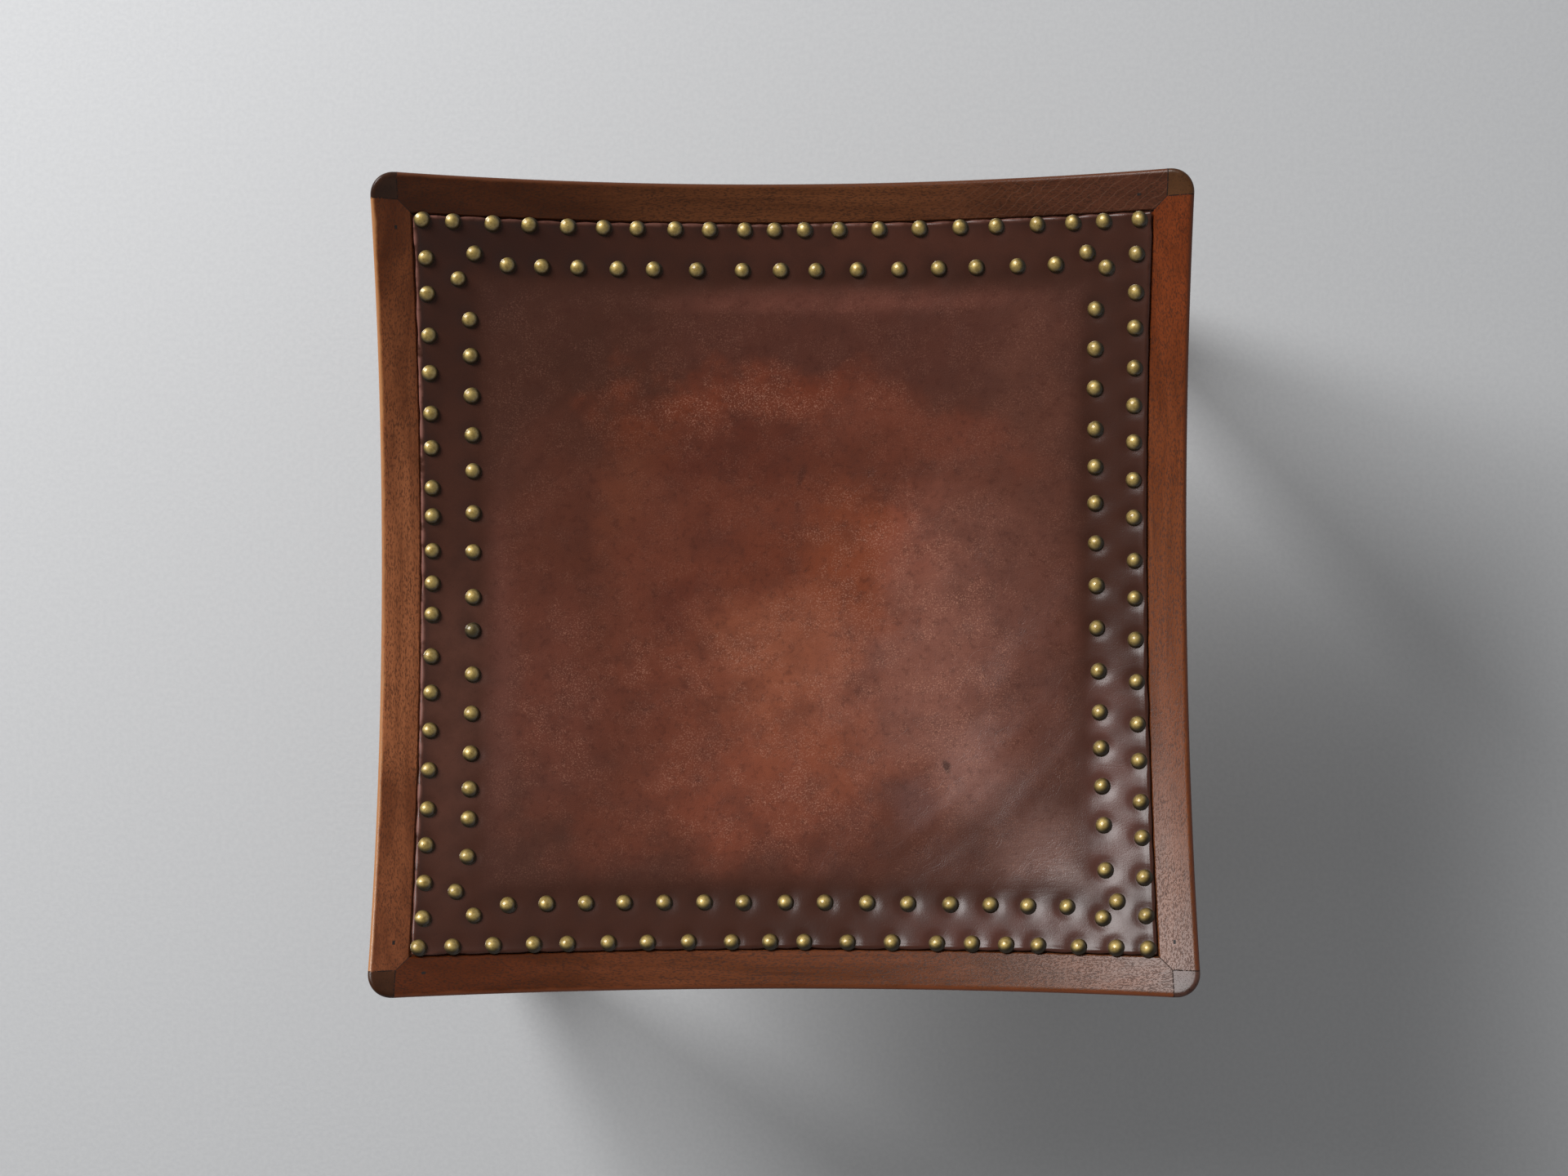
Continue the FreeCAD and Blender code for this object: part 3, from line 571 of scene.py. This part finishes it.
# Offset of the grain, dark and light colour, tints near the start and the end, arris, ring lines. The end
# tints are partly the boards' own colour and partly painted sheen, greyer and bluer towards the front right
# corner; the arris colour is wear, and on the left rail, which faces the light, also a painted highlight.
RAIL_LOOKS = {
    "front": ((0.31, 0.27, -0.14), (0.094, 0.027, 0.009), (0.154, 0.045, 0.017),
              (0.62, 0.48, 0.35), (1.05, 1.15, 1.10), (0.170, 0.046, 0.016), 0.0),
    "right": ((-0.22, 0.33, -0.09), (0.124, 0.033, 0.010), (0.186, 0.052, 0.017),
              (0.95, 1.10, 1.15), (1.10, 0.82, 0.62), (0.105, 0.028, 0.011), 0.0),
    "back": ((0.12, 0.38, -0.17), (0.082, 0.026, 0.009), (0.130, 0.043, 0.015),
             (0.68, 0.66, 0.95), (0.52, 0.40, 0.30), (0.105, 0.034, 0.014), 0.22),
    "left": ((-0.41, 0.24, -0.12), (0.162, 0.048, 0.018), (0.330, 0.112, 0.044),
             (0.50, 0.41, 0.31), (0.64, 0.58, 0.55), (0.420, 0.185, 0.072), 0.0),
}


def rail_section():
    """Points round a rail: Y, which arc it follows (1 top, 0 underside) and the height from that arc."""
    small = 0.0006
    points = [(-HALF + small, 0, 0.0), (-HALF, 0, small), (-HALF, 1, -ARRIS)]
    for step in range(1, ARRIS_STEPS + 1):
        a = math.pi / 2 * step / ARRIS_STEPS
        points.append((-HALF + ARRIS * (1 - math.cos(a)), 1, -ARRIS * (1 - math.sin(a))))
    inner_line = -HALF + BORDER
    points += [(-HALF + POST_SIDE, 1, 0.0), (inner_line - small, 1, 0.0), (inner_line, 1, -small),
               (inner_line, 1, -REBATE), (-RAIL_INNER, 1, -REBATE), (-RAIL_INNER, 0, 0.0),
               (-HALF + POST_SIDE, 0, 0.0)]
    return points


def rail(side):
    """A rail with its arris, mitred at both ends round the posts."""
    quarters = SIDES.index(side)
    section = rail_section()
    middle = np.linspace(-RAIL_INNER, RAIL_INNER, RAIL_STATIONS)
    shares = np.linspace(0, 1, END_STATIONS + 1)[1:]
    rows = []
    for station in range(-END_STATIONS, RAIL_STATIONS + END_STATIONS):
        row = []
        for y, on_top, lift in section:
            end = HALF - POST_SIDE if y <= -HALF + POST_SIDE else -y
            if station < 0:
                x = -RAIL_INNER - (end - RAIL_INNER) * shares[-station - 1]
            elif station >= RAIL_STATIONS:
                x = RAIL_INNER + (end - RAIL_INNER) * shares[station - RAIL_STATIONS]
            else:
                x = middle[station]
            if on_top:
                z = TOP_MID + float(dish(x, y)) + lift
            else:
                z = UNDER_MID + under_rise(min(abs(x), RAIL_INNER)) + lift
            row.append((x, y, z))
        rows.append(row)
    points = turned(np.array(rows).reshape(-1, 3), quarters)
    count = len(section)
    faces = grid_faces(len(rows), count, around=True)
    split = section.index((-HALF + POST_SIDE, 1, 0.0))
    for row in (0, len(rows) - 1):
        start = row * count
        faces.append(tuple(start + i for i in range(split + 1)) + (start + count - 1,))
        faces.append(tuple(start + i for i in range(split, count)))
    material = wood("rail_wood_" + side, quarters, *RAIL_LOOKS[side])
    made = piece("rail_shaped_" + side, points, faces, material, ["rail_" + side], RAIL_SHARP)
    clean(made, 1e-6)
    made.data.set_sharp_from_angle(angle=math.radians(RAIL_SHARP))


def arc_points(x, y, radius, first, steps):
    """Points on a quarter circle that starts at an angle in degrees."""
    angles = np.radians(first + 90.0 * np.arange(steps + 1) / steps)
    return np.stack([x + radius * np.cos(angles), y + radius * np.sin(angles)], 1)


def rounded_square(start, side, outer, inner):
    """Plan of a leg, its outer corner at start on both axes."""
    end = start + side
    return np.vstack([arc_points(start + outer, start + outer, outer, 180, 12),
                      arc_points(end - inner, start + inner, inner, 270, 4),
                      arc_points(end - inner, end - inner, inner, 0, 4),
                      arc_points(start + inner, end - inner, inner, 90, 4)])


def leg(corner):
    """A tapered leg and the post above its shoulder."""
    quarters = CORNERS.index(corner)
    side = HALF - RAIL_INNER
    ratio = FOOT_SIDE / side
    start = -HALF + FOOT_INSET
    foot = rounded_square(start + FOOT_BEVEL, FOOT_SIDE - 2 * FOOT_BEVEL, CORNER_RADIUS * ratio - FOOT_BEVEL,
                          LEG_EDGE - FOOT_BEVEL)
    rings = [(foot, 0.0)]
    top = SHOULDER - HEAD_LENGTH
    for share in np.linspace(0, 1, 9):
        edge = start + (-HALF - start) * share
        width = FOOT_SIDE + (side - FOOT_SIDE) * share
        outer = CORNER_RADIUS * (ratio + (1 - ratio) * share)
        height = FOOT_BEVEL + (top - FOOT_BEVEL) * share
        rings.append((rounded_square(edge, width, outer, LEG_EDGE), height))
    rings.append((rounded_square(-HALF, side, CORNER_RADIUS, LEG_EDGE), SHOULDER))
    count = len(rings[0][0])
    points = [np.column_stack([plan, np.full(count, height)]) for plan, height in rings]
    faces = grid_faces(len(rings), count, around=True)
    faces += [tuple(range(count))[::-1], tuple((len(rings) - 1) * count + i for i in range(count))]
    # The post
    end = -HALF + POST_SIDE
    centre = -HALF + CORNER_RADIUS

    def outline(inset):
        arc = arc_points(centre, centre, CORNER_RADIUS - inset, 180, 16)
        return np.vstack([[(-HALF + inset, end)], arc, [(end, -HALF + inset)]])

    first = outline(0.0)
    ring_rows = [np.column_stack([first, np.full(len(first), SHOULDER)])]
    for step in range(ARRIS_STEPS + 1):
        a = math.pi / 2 * step / ARRIS_STEPS
        plan = outline(ARRIS * (1 - math.cos(a)))
        z = TOP_MID + dish(plan[:, 0], plan[:, 1]) - ARRIS * (1 - math.sin(a))
        ring_rows.append(np.column_stack([plan, z]))
    last = ring_rows[-1]
    for share in (0.34, 0.67, 1.0):
        plan = last[:, :2] + (end - last[:, :2]) * share
        ring_rows.append(np.column_stack([plan, TOP_MID + dish(plan[:, 0], plan[:, 1])]))
    points += ring_rows
    faces += grid_faces(len(ring_rows), len(first), len(rings) * count)
    made = piece("leg_shaped_" + corner, turned(np.vstack(points), quarters), faces,
                 LEG_WOODS[corner], ["leg_" + corner], LEG_SHARP)
    clean(made, 1e-6)
    made.data.set_sharp_from_angle(angle=math.radians(LEG_SHARP))


# Offset of the grain, dark and light colour, roughness
LEG_LOOKS = {
    "front_left": ((0.1, 0, 0), (0.027, 0.009, 0.003), (0.050, 0.017, 0.006), 0.30),
    "front_right": ((0.4, 0, 0), (0.048, 0.022, 0.016), (0.084, 0.038, 0.027), 0.27),
    "back_right": ((0.7, 0, 0), (0.040, 0.016, 0.006), (0.085, 0.034, 0.012), 0.30),
    "back_left": ((0.9, 0, 0), (0.024, 0.010, 0.005), (0.048, 0.019, 0.010), 0.28),
}
LEG_WOODS = {corner: end_grain("leg_wood_" + corner, *looks) for corner, looks in LEG_LOOKS.items()}

for side in SIDES:
    rail(side)
for corner in CORNERS:
    leg(corner)


# Nails: each stands where its solid does


def nail_places(name):
    """Middle of the rim and the axis of each nail in a group."""
    found = np.unique(np.round(points_of(nodes[name].data), 6), axis=0)
    places = []
    left = list(range(len(found)))
    while left:
        near = [i for i in left if np.linalg.norm(found[i] - found[left[0]]) < 2.1 * NAIL_RADIUS]
        for _ in range(2):
            middle = found[near].mean(0)
            near = [i for i in left if np.linalg.norm(found[i] - middle) < 1.15 * NAIL_RADIUS]
        cluster = found[near]
        middle = cluster.mean(0)
        axis = np.linalg.svd(cluster - middle)[2][-1]
        axis = axis if axis[2] > 0 else -axis
        low = ((cluster - middle) @ axis).min()
        places.append((middle + axis * low, axis))
        left = [i for i in left if i not in set(near)]
    return places


def nail_rings():
    """Radius and height of each ring of a head, from its underside to near its top."""
    rings = [(0.86 * NAIL_RADIUS, -0.0002), (NAIL_RADIUS, -0.0002), (NAIL_RADIUS + 0.00006, 0.00008)]
    flat = NAIL_BALL * math.cos(DOME_ANGLE)
    for degrees in (64, 56, 47, 38, 29, 20, 12, 5):
        a = math.radians(degrees)
        rings.append((NAIL_BALL * math.sin(a), NAIL_BALL * math.cos(a) - flat))
    return rings


# How deep the heads sit, how wide they are shown, and how far the painted shade on their rims is shifted, so
# that it is deepest at the lower right, away from the light
NAIL_SINK = 0.00030
NAIL_SHOWN = 1.07
RIM_SHADE_SHIFT = 0.20 * NAIL_RADIUS * np.array([1.0, -1.0])
TOP_RIM = 0.28
NAIL_TURNS = 24
# The one dull nail
DULL_GROUP = "inner_nails_left"
DULL_Y = -0.028
BRASS = brass()
nail_spots = []


def nail_group(name):
    """The heads of a group, each a little tilted and uneven."""
    rings = nail_rings()
    turns = NAIL_TURNS
    angles = 2 * math.pi * np.arange(turns) / turns
    points, faces, rims, shades = [], [], [], []
    for centre, axis in nail_places(name):
        axis = axis + rng.normal(0, 0.035, 3)
        axis /= np.linalg.norm(axis)
        across = np.cross((0.0, 1.0, 0.0), axis)
        across /= np.linalg.norm(across)
        other = np.cross(axis, across)
        width, tall = 1 + rng.normal(0, 0.012), 1 + rng.normal(0, 0.05)
        start = len(points)
        nail_spots.append(centre)
        for radius, height in rings:
            for a in angles:
                spread = NAIL_SHOWN * radius * width * (math.cos(a) * across + math.sin(a) * other)
                points.append(centre + spread + axis * (height * tall - NAIL_SINK))
                # Painted shade: the rim value grows towards the lower right of each head, away from the light
                rim_shade_offset = radius * np.array([math.cos(a), math.sin(a)]) + RIM_SHADE_SHIFT
                rims.append(float(np.hypot(*rim_shade_offset)) / NAIL_RADIUS)
        top = NAIL_BALL * (1 - math.cos(DOME_ANGLE))
        points.append(centre + axis * (top * tall - NAIL_SINK))
        rims.append(TOP_RIM)
        dull = name == DULL_GROUP and abs(centre[1] - DULL_Y) < 0.008
        shades += [0.75 if dull else rng.uniform(0, 0.12)] * (len(points) - start)
        faces += grid_faces(len(rings), turns, start, True)
        last = start + (len(rings) - 1) * turns
        faces += [(last + j, last + (j + 1) % turns, len(points) - 1) for j in range(turns)]
        faces.append(tuple(start + j for j in range(turns))[::-1])
    made = piece(name.replace("nails", "dome_nails"), points, faces, BRASS, [name], 60.0)
    attribute(made, "rim", rims)
    attribute(made, "shade", shades)


for side in SIDES:
    nail_group("outer_nails_" + side)
    nail_group("inner_nails_" + side)


# The leather

# How far it stands up between the nails, on the strip and on the seat
STRIP_PLUMP, SEAT_PLUMP = 0.0008, 0.0009
LIP_ROLL = 0.0016
LIP_BEAD = 0.0005
UNDER_TOP = 0.0026
# The most that the simulated cover may rise, and that its folds may stand out
RISE_CAP, FOLD_CAP = 0.0012, 0.00012
COVER_POINTS = 90
COVER_VOXEL = 0.0045
COVER_FRAMES = 20
RISE_POINTS = 161


def swell(away):
    """The crown's share at a distance from the middle, none at the pad's edge."""
    inward = PAD_EDGE - np.abs(away)
    return np.sin(math.pi / 2 * np.clip(inward / ROLL, 0, 1))


def hide_form(x, y):
    """Height of the solid hide's top."""
    return LEATHER_TOP_MID + dish(x, y) + PAD_CROWN * swell(x) * swell(y)


def between(lattice, i, j, s, t):
    """Values in a lattice, at the shares s and t of the way from its points i, j to the next."""
    near = lattice[i, j] * (1 - t) + lattice[i, j + 1] * t
    far = lattice[i + 1, j] * (1 - t) + lattice[i + 1, j + 1] * t
    return near * (1 - s) + far * s


def smooth_noise(x, y, size, seed):
    """A soft random field without repeats: random values on a lattice, smoothly joined, in three octaves."""
    source = np.random.default_rng(seed)
    total = np.zeros_like(x)
    for octave in range(3):
        lattice = source.normal(0, 1, (96, 96))
        u, v = x / size * 1.9**octave + 40.3, y / size * 1.9**octave + 40.7
        i, j = np.floor(u).astype(int) % 95, np.floor(v).astype(int) % 95
        s, t = u - np.floor(u), v - np.floor(v)
        s, t = s * s * s * (s * (6 * s - 15) + 10), t * t * t * (t * (6 * t - 15) + 10)
        total += between(lattice, i, j, s, t) * 0.5**octave
    return total


def blurred(field, passes):
    """A field of heights, each pass mixed with its neighbours."""
    for _ in range(passes):
        padded = np.pad(field, 1, mode="edge")
        field = (padded[:-2, 1:-1] + padded[2:, 1:-1] + padded[1:-1, :-2] + padded[1:-1, 2:] + 4 * field) / 8
    return field


def smooth_step(value, low, high):
    share = np.clip((value - low) / (high - low), 0, 1)
    return share * share * (3 - 2 * share)


def hide_lines():
    """Grid lines of the hide: even inside, closer where the rim rolls over."""
    inner = LEATHER_HALF - 0.0055
    rim = LEATHER_HALF - np.array([0.0043, 0.0033, 0.0025, 0.0018, 0.0012, 0.0007, 0.0003, 0.0])
    even = np.linspace(-inner, inner, 213)
    return np.concatenate([-rim[::-1], even, rim])


def pressed_out():
    """Lets the stuffing push the nailed cover out as cloth, and returns where each point of it went.

    The cover is held at the nails, round its edge and underneath, and starts a little below its form.
    """
    steps = np.linspace(-LEATHER_HALF + 0.004, LEATHER_HALF - 0.004, COVER_POINTS)
    x, y = np.meshgrid(steps, steps, indexing="ij")
    top = hide_form(x, y) - 0.0005
    layers = [np.stack([x, y, z], -1).reshape(-1, 3) for z in (top, top - 0.014)]
    mesh = bpy.data.meshes.new("cover_at_rest")
    mesh.from_pydata(np.vstack(layers).tolist(), [], shell_faces(COVER_POINTS, COVER_POINTS))
    body = add_object("cover_at_rest", mesh)
    remesh = body.modifiers.new("even_mesh", "REMESH")
    remesh.mode, remesh.voxel_size = "VOXEL", COVER_VOXEL

    def evaluated():
        graph = bpy.context.evaluated_depsgraph_get()
        return bpy.data.meshes.new_from_object(body.evaluated_get(graph))

    even = evaluated()
    body.modifiers.clear()
    body.data = even
    start = points_of(even)
    on_top = start[:, 2] > hide_form(start[:, 0], start[:, 1]) - 0.004
    held = ~on_top | (np.abs(start[:, :2]).max(1) > LEATHER_HALF - 0.009)
    for spot in nail_spots:
        held |= np.hypot(start[:, 0] - spot[0], start[:, 1] - spot[1]) < 0.0058
    group = body.vertex_groups.new(name="held")
    group.add(np.flatnonzero(held).tolist(), 1.0, "REPLACE")
    cloth = body.modifiers.new("stuffing", "CLOTH")
    settings = cloth.settings
    settings.quality = 6
    settings.mass = 0.2
    settings.tension_stiffness = settings.compression_stiffness = 60.0
    settings.shear_stiffness = 20.0
    settings.bending_stiffness = 2.0
    settings.use_pressure = True
    settings.uniform_pressure_force = 4.0
    settings.effector_weights.gravity = 0.0
    settings.vertex_group_mass = "held"
    cloth.point_cache.frame_start, cloth.point_cache.frame_end = 1, COVER_FRAMES
    for moment in range(1, COVER_FRAMES + 1):
        bpy.context.scene.frame_set(moment)
    settled = evaluated()
    end = points_of(settled)
    bpy.data.objects.remove(body)
    for leftover in (mesh, even, settled):
        bpy.data.meshes.remove(leftover)
    bpy.context.scene.frame_set(1)
    return start[on_top], (end - start)[on_top, 2]


def cloth_rise(x, y):
    """How far the simulated cover rises at each point, capped, with its wrinkles kept."""
    start, rise = pressed_out()
    tree = KDTree(len(start))
    for index, point in enumerate(start):
        tree.insert((point[0], point[1], 0.0), index)
    tree.balance()
    steps = np.linspace(-HALF, HALF, RISE_POINTS)
    coarse = np.zeros((RISE_POINTS, RISE_POINTS))
    for i, a in enumerate(steps):
        for j, b in enumerate(steps):
            found = tree.find_n((a, b, 0.0), 5)
            weights = [1 / (distance + 0.0008) ** 2 for _, _, distance in found]
            coarse[i, j] = sum(w * rise[k] for w, (_, k, _) in zip(weights, found)) / sum(weights)
    coarse = blurred(coarse, 2)
    broad = blurred(coarse, 50)
    field = np.clip(broad, 0, None) * min(1.0, RISE_CAP / broad.max())
    field += np.clip(0.3 * (coarse - broad), -FOLD_CAP, FOLD_CAP)
    cells = RISE_POINTS - 1
    u, v = (x + HALF) / (2 * HALF) * cells, (y + HALF) / (2 * HALF) * cells
    i, j = (np.clip(np.floor(w).astype(int), 0, cells - 1) for w in (u, v))
    s, t = u - i, v - j
    return between(field, i, j, s * s * (3 - 2 * s), t * t * (3 - 2 * t))


def hide():
    """The hide as one closed mesh: pressed in at the nails, plump between them, its rim rolled over."""
    line = hide_lines()
    count = len(line)
    x, y = np.meshgrid(line, line, indexing="ij")
    # Round the corners in plan
    inner = LEATHER_HALF - 0.003
    over_x, over_y = np.clip(np.abs(x) - inner, 0, None), np.clip(np.abs(y) - inner, 0, None)
    both = (over_x > 0) & (over_y > 0)
    shrink = np.where(both, np.maximum(over_x, over_y) / np.hypot(over_x, over_y + 1e-12), 1.0)
    x = np.where(both, np.sign(x) * (inner + over_x * shrink), x)
    y = np.where(both, np.sign(y) * (inner + over_y * shrink), y)
    edge = LEATHER_HALF - np.maximum(np.abs(x), np.abs(y))
    # Nails press the hide down and pinch its edge; between them it stays plump
    press, pinch = np.ones_like(x), np.zeros_like(x)
    for spot in nail_spots:
        away = np.hypot(x - spot[0], y - spot[1])
        press *= 0.78 * smooth_step(away, 0.0044, 0.0084) + 0.22 * smooth_step(away, 0.0050, 0.0140)
        pinch = np.maximum(pinch, np.exp(-((away / 0.0085) ** 2)))
    near_rim = np.clip(1 - edge / 0.009, 0, 1)
    draw = 0.0009 * (pinch - 0.20) + 0.00030 * smooth_noise(x, y, 0.030, 11)
    pull = 1 - near_rim * np.clip(draw, 0.0, 0.0012) / LEATHER_HALF
    x, y = x * pull, y * pull
    form = hide_form(x, y)
    strip = smooth_step(np.maximum(np.abs(x), np.abs(y)), PAD_EDGE - 0.010, PAD_EDGE + 0.006)
    plump = (STRIP_PLUMP * strip + SEAT_PLUMP * (1 - strip)) * press
    # The rim is a thick lip that rolls over to the wood
    lip = np.clip(1 - edge / (0.0012 + 0.0020 * (1 - pinch)), 0, 1)
    rolled = -LIP_ROLL * (1 - np.sqrt(np.clip(1 - lip**2, 0, 1)))
    bead = LIP_BEAD * np.exp(-(((edge - 0.0023) / 0.0013) ** 2)) * (1 - pinch)
    wander = 0.00045 * smooth_noise(x, y, 0.085, 3) * (1 - strip) + 0.00010 * smooth_noise(x, y, 0.022, 4)
    z = form + plump + rolled + bead + wander * np.clip(edge / 0.01, 0, 1)
    z = z + cloth_rise(x, y) * np.clip(edge / 0.01 - 0.4, 0, 1)
    top = np.stack([x, y, z], -1).reshape(-1, 3)
    under = np.stack([x, y, form - UNDER_TOP], -1).reshape(-1, 3)
    made = piece("leather_hide", np.vstack([top, under]), shell_faces(count, count), leather_material(),
                 ["leather_cover"], 180.0)
    clean(made, 1e-7)
    flat_x, flat_y = points_of(made.data)[:, :2].T
    reach = np.maximum(np.abs(flat_x), np.abs(flat_y))
    rim = LEATHER_HALF - reach
    attribute(made, "strip", smooth_step(reach, PAD_EDGE - 0.014, PAD_EDGE + 0.004))
    pressed = np.zeros_like(rim)
    for spot in nail_spots:
        away = np.hypot(flat_x - spot[0], flat_y - spot[1])
        pressed = np.maximum(pressed, np.exp(-((away / 0.0068) ** 2)))
    # Where the hide dips round the nails; its material paints shade there
    attribute(made, "dip", pressed)
    attribute(made, "lip", np.clip(1.25 * (1 - rim / (0.0012 + 0.0022 * (1 - pressed))), 0, 1))


hide()


# Underneath: straps, hessian and stuffing


def strap_height(along, across):
    """Middle of the webbing: on the dish under the battens, slung between them."""
    low = dish(BATTEN_INNER, 0)
    climb = dish(BATTEN_INNER, BATTEN_INNER) - low
    shares = [(dish(BATTEN_INNER, at) - low) / climb for at in (along, across)]
    slung = low + climb * shares[0] * shares[1] - WEBBING_SAG * (1 - shares[0]) * (1 - shares[1])
    return STRAP_MID + np.where(np.abs(along) >= BATTEN_INNER, dish(along, across), slung)


WEBBING = woven("jute_webbing", (0.42, 0.31, 0.18), (0.16, 0.10, 0.05), 420.0)
HESSIAN = woven("hessian_cloth", (0.40, 0.29, 0.16), (0.10, 0.065, 0.035), 520.0)
STRAPS = 4
STRAP_PLACES = [STRAP_OUTER * (2 * i / (STRAPS - 1) - 1) for i in range(STRAPS)]
# From the middle of a crossing to where a strap lies flat again
CROSSING_REACH = 0.040


def strap(row, crossing):
    """A strap that goes over and under the four it crosses."""
    across = STRAP_PLACES[row]
    lap = BATTEN_INNER + STRAP_LAP
    length = np.linspace(-lap, lap, 95)
    lifts = np.zeros_like(length)
    for column, at in enumerate(STRAP_PLACES):
        sign = 1 if (row + column) % 2 == 0 else -1
        sign = -sign if crossing else sign
        away = np.abs(length - at)
        share = np.clip((CROSSING_REACH - away) / (CROSSING_REACH - STRAP_WIDTH / 2), 0, 1)
        lifts += sign * WEAVE * share * share * (3 - 2 * share)
    wide = np.linspace(-1, 1, 9)
    top, low = [], []
    for x, lift in zip(length, lifts):
        for w in wide:
            y = across + w * STRAP_WIDTH / 2
            z = float(strap_height(x, y)) + lift
            half = STRAP_THICK / 2 * (1 - 0.35 * abs(w) ** 6)
            top.append((x, y, z + half))
            low.append((x, y, z - half))
    node_name = "webbing_front_to_back" if crossing else "webbing_side_to_side"
    points = turned(np.array(top + low), 1 if crossing else 0)
    name = ("strap_along_" if crossing else "strap_across_") + str(row + 1)
    made = piece(name, points, shell_faces(len(length), len(wide)), WEBBING, [node_name], 50.0)
    clean(made, 1e-7)


LAYER_POINTS = 49
opening = BATTEN_INNER - SPARE


def layer(name, low_height, high_height, material, slot, replaced):
    """A closed sheet or pad between two heights, as wide as the opening."""
    line = np.linspace(-opening, opening, LAYER_POINTS)
    x, y = np.meshgrid(line, line, indexing="ij")
    top = np.stack([x, y, high_height(x, y)], -1).reshape(-1, 3)
    low = np.stack([x, y, low_height(x, y)], -1).reshape(-1, 3)
    faces = shell_faces(LAYER_POINTS, LAYER_POINTS)
    made = piece(name, np.vstack([top, low]), faces, material, [replaced], 50.0)
    clean(made, 1e-7)
    return made


def hessian_low(x, y):
    clear = WEAVE + STRAP_THICK / 2 + SPARE + float(dish(STRAP_WIDTH / 2 + SPARE, HALF))
    return strap_height(x, y) + clear


for row in range(STRAPS):
    strap(row, False)
    strap(row, True)
hessian = layer("hessian_sheet", hessian_low, lambda x, y: hessian_low(x, y) + HESSIAN_THICK,
                HESSIAN, "hessian", "hessian")

stuffing, tree, shader = new_material("hair_stuffing")
matted = noise(tree, place(tree, 0, (0, 0, 0), (300, 300, 900)), 1.0, 4.0, 0.6, 1.0)
hair = blend(tree, matted, (0.05, 0.035, 0.025), (0.24, 0.18, 0.12))
finish_surface(tree, shader, hair, 0.9, matted, 0.0008)
pad = layer("stuffed_pad", lambda x, y: hessian_low(x, y) + HESSIAN_THICK + SPARE,
            lambda x, y: hide_form(x, y) - LEATHER_THICK - SPARE, stuffing, "stuffing", "seat_pad")


# Materials of the solids that show as they are


def repaint(name, material):
    obj = nodes[name]
    obj.data.materials.clear()
    obj.data.materials.append(material)


IRON = old_metal("black_iron", (0.030, 0.027, 0.026), (0.060, 0.030, 0.018), 0.6)
STEEL = old_metal("dull_steel", (0.42, 0.40, 0.37), (0.20, 0.09, 0.045), 0.45)
for index, side in enumerate(SIDES):
    repaint("batten_" + side, plain_wood("batten_wood_" + side, index, (0.3 * index, 0.1, 0)))
for index, corner in enumerate(CORNERS):
    repaint("corner_block_" + corner, plain_wood("block_wood_" + corner, index, (0.2 * index, 0.5, 0.2)))
repaint("corner_block_screws", STEEL)
repaint("webbing_tacks", IRON)
repaint("joint_brads", IRON)


# Floor, light and camera

FLOOR_HALF = 6.0
floor_mesh = bpy.data.meshes.new("floor")
floor_corners = [(FLOOR_HALF * x, FLOOR_HALF * y, 0) for x, y in ((-1, -1), (1, -1), (1, 1), (-1, 1))]
floor_mesh.from_pydata(floor_corners, [], [(0, 1, 2, 3)])
floor = add_object("floor", floor_mesh)
paper, tree, shader = new_material("pale_floor")
tooth = noise(tree, place(tree), 320.0, 4.0, 0.6)
pale = blend(tree, span(tree, tooth, 0.3, 0.7), (0.543, 0.549, 0.560), (0.574, 0.579, 0.588))
finish_surface(tree, shader, pale, 0.9, tooth, 0.0004, 0.4)
floor_mesh.materials.append(paper)

LIGHT_AT = (-1.576, 1.339, 2.001)
LIGHT_AIM = (0, 0, 0.35)
LIGHT_SIZE = (1.264, 1.288)
LIGHT_POWER = 84.0
WALL_LIGHT = 0.60
CEILING_LIGHT = 0.08
lamp_data = bpy.data.lights.new("softbox", "AREA")
lamp_data.shape = "RECTANGLE"
lamp_data.size, lamp_data.size_y = LIGHT_SIZE
lamp_data.energy = LIGHT_POWER
lamp = add_object("softbox", lamp_data)
lamp.location = LIGHT_AT
aim = Vector(LIGHT_AIM) - Vector(LIGHT_AT)
lamp.rotation_mode = "QUATERNION"
lamp.rotation_quaternion = aim.to_track_quat("-Z", "Y")

# Pale walls, a little brighter on the right, under a dark ceiling
world = bpy.data.worlds.new("studio")
world.use_nodes = True
tree = world.node_tree
direction = node(tree, "SeparateXYZ", {0: node(tree, "TexCoord").outputs["Generated"]})
wall = span(tree, direction.outputs[2], 0.0, 1.0, WALL_LIGHT, CEILING_LIGHT, False)
bias = span(tree, direction.outputs[0], -1.0, 1.0, 0.75, 1.25, False)
background = tree.nodes["Background"]
background.inputs["Color"].default_value = (0.98, 0.99, 1.0, 1.0)
tree.links.new(times(tree, wall, bias), background.inputs["Strength"])
bpy.context.scene.world = world

# The camera as it was fitted to the photo: focal length in pixels of the frame, place and tilt
FRAME_WIDTH = 1920.0
FOCAL_PIXELS = 3255.7
SENSOR_WIDTH = 36.0
CAMERA_AT = (0.02028, -0.05665, 1.930)
TILT_X, TILT_Y, TILT_Z = 0.03437, 0.01264, -0.0021
camera_data = bpy.data.cameras.new("camera")
camera_data.sensor_width = SENSOR_WIDTH
camera_data.lens = FOCAL_PIXELS * SENSOR_WIDTH / FRAME_WIDTH
camera_data.clip_start, camera_data.clip_end = 0.05, 50.0
camera = add_object("camera", camera_data)
turn = Matrix.Rotation(TILT_Z, 4, "Z") @ Matrix.Rotation(TILT_Y, 4, "Y") @ Matrix.Rotation(TILT_X, 4, "X")
camera.matrix_world = Matrix.Translation(CAMERA_AT) @ turn
bpy.context.scene.camera = camera
bpy.context.scene.view_settings.view_transform = "Standard"
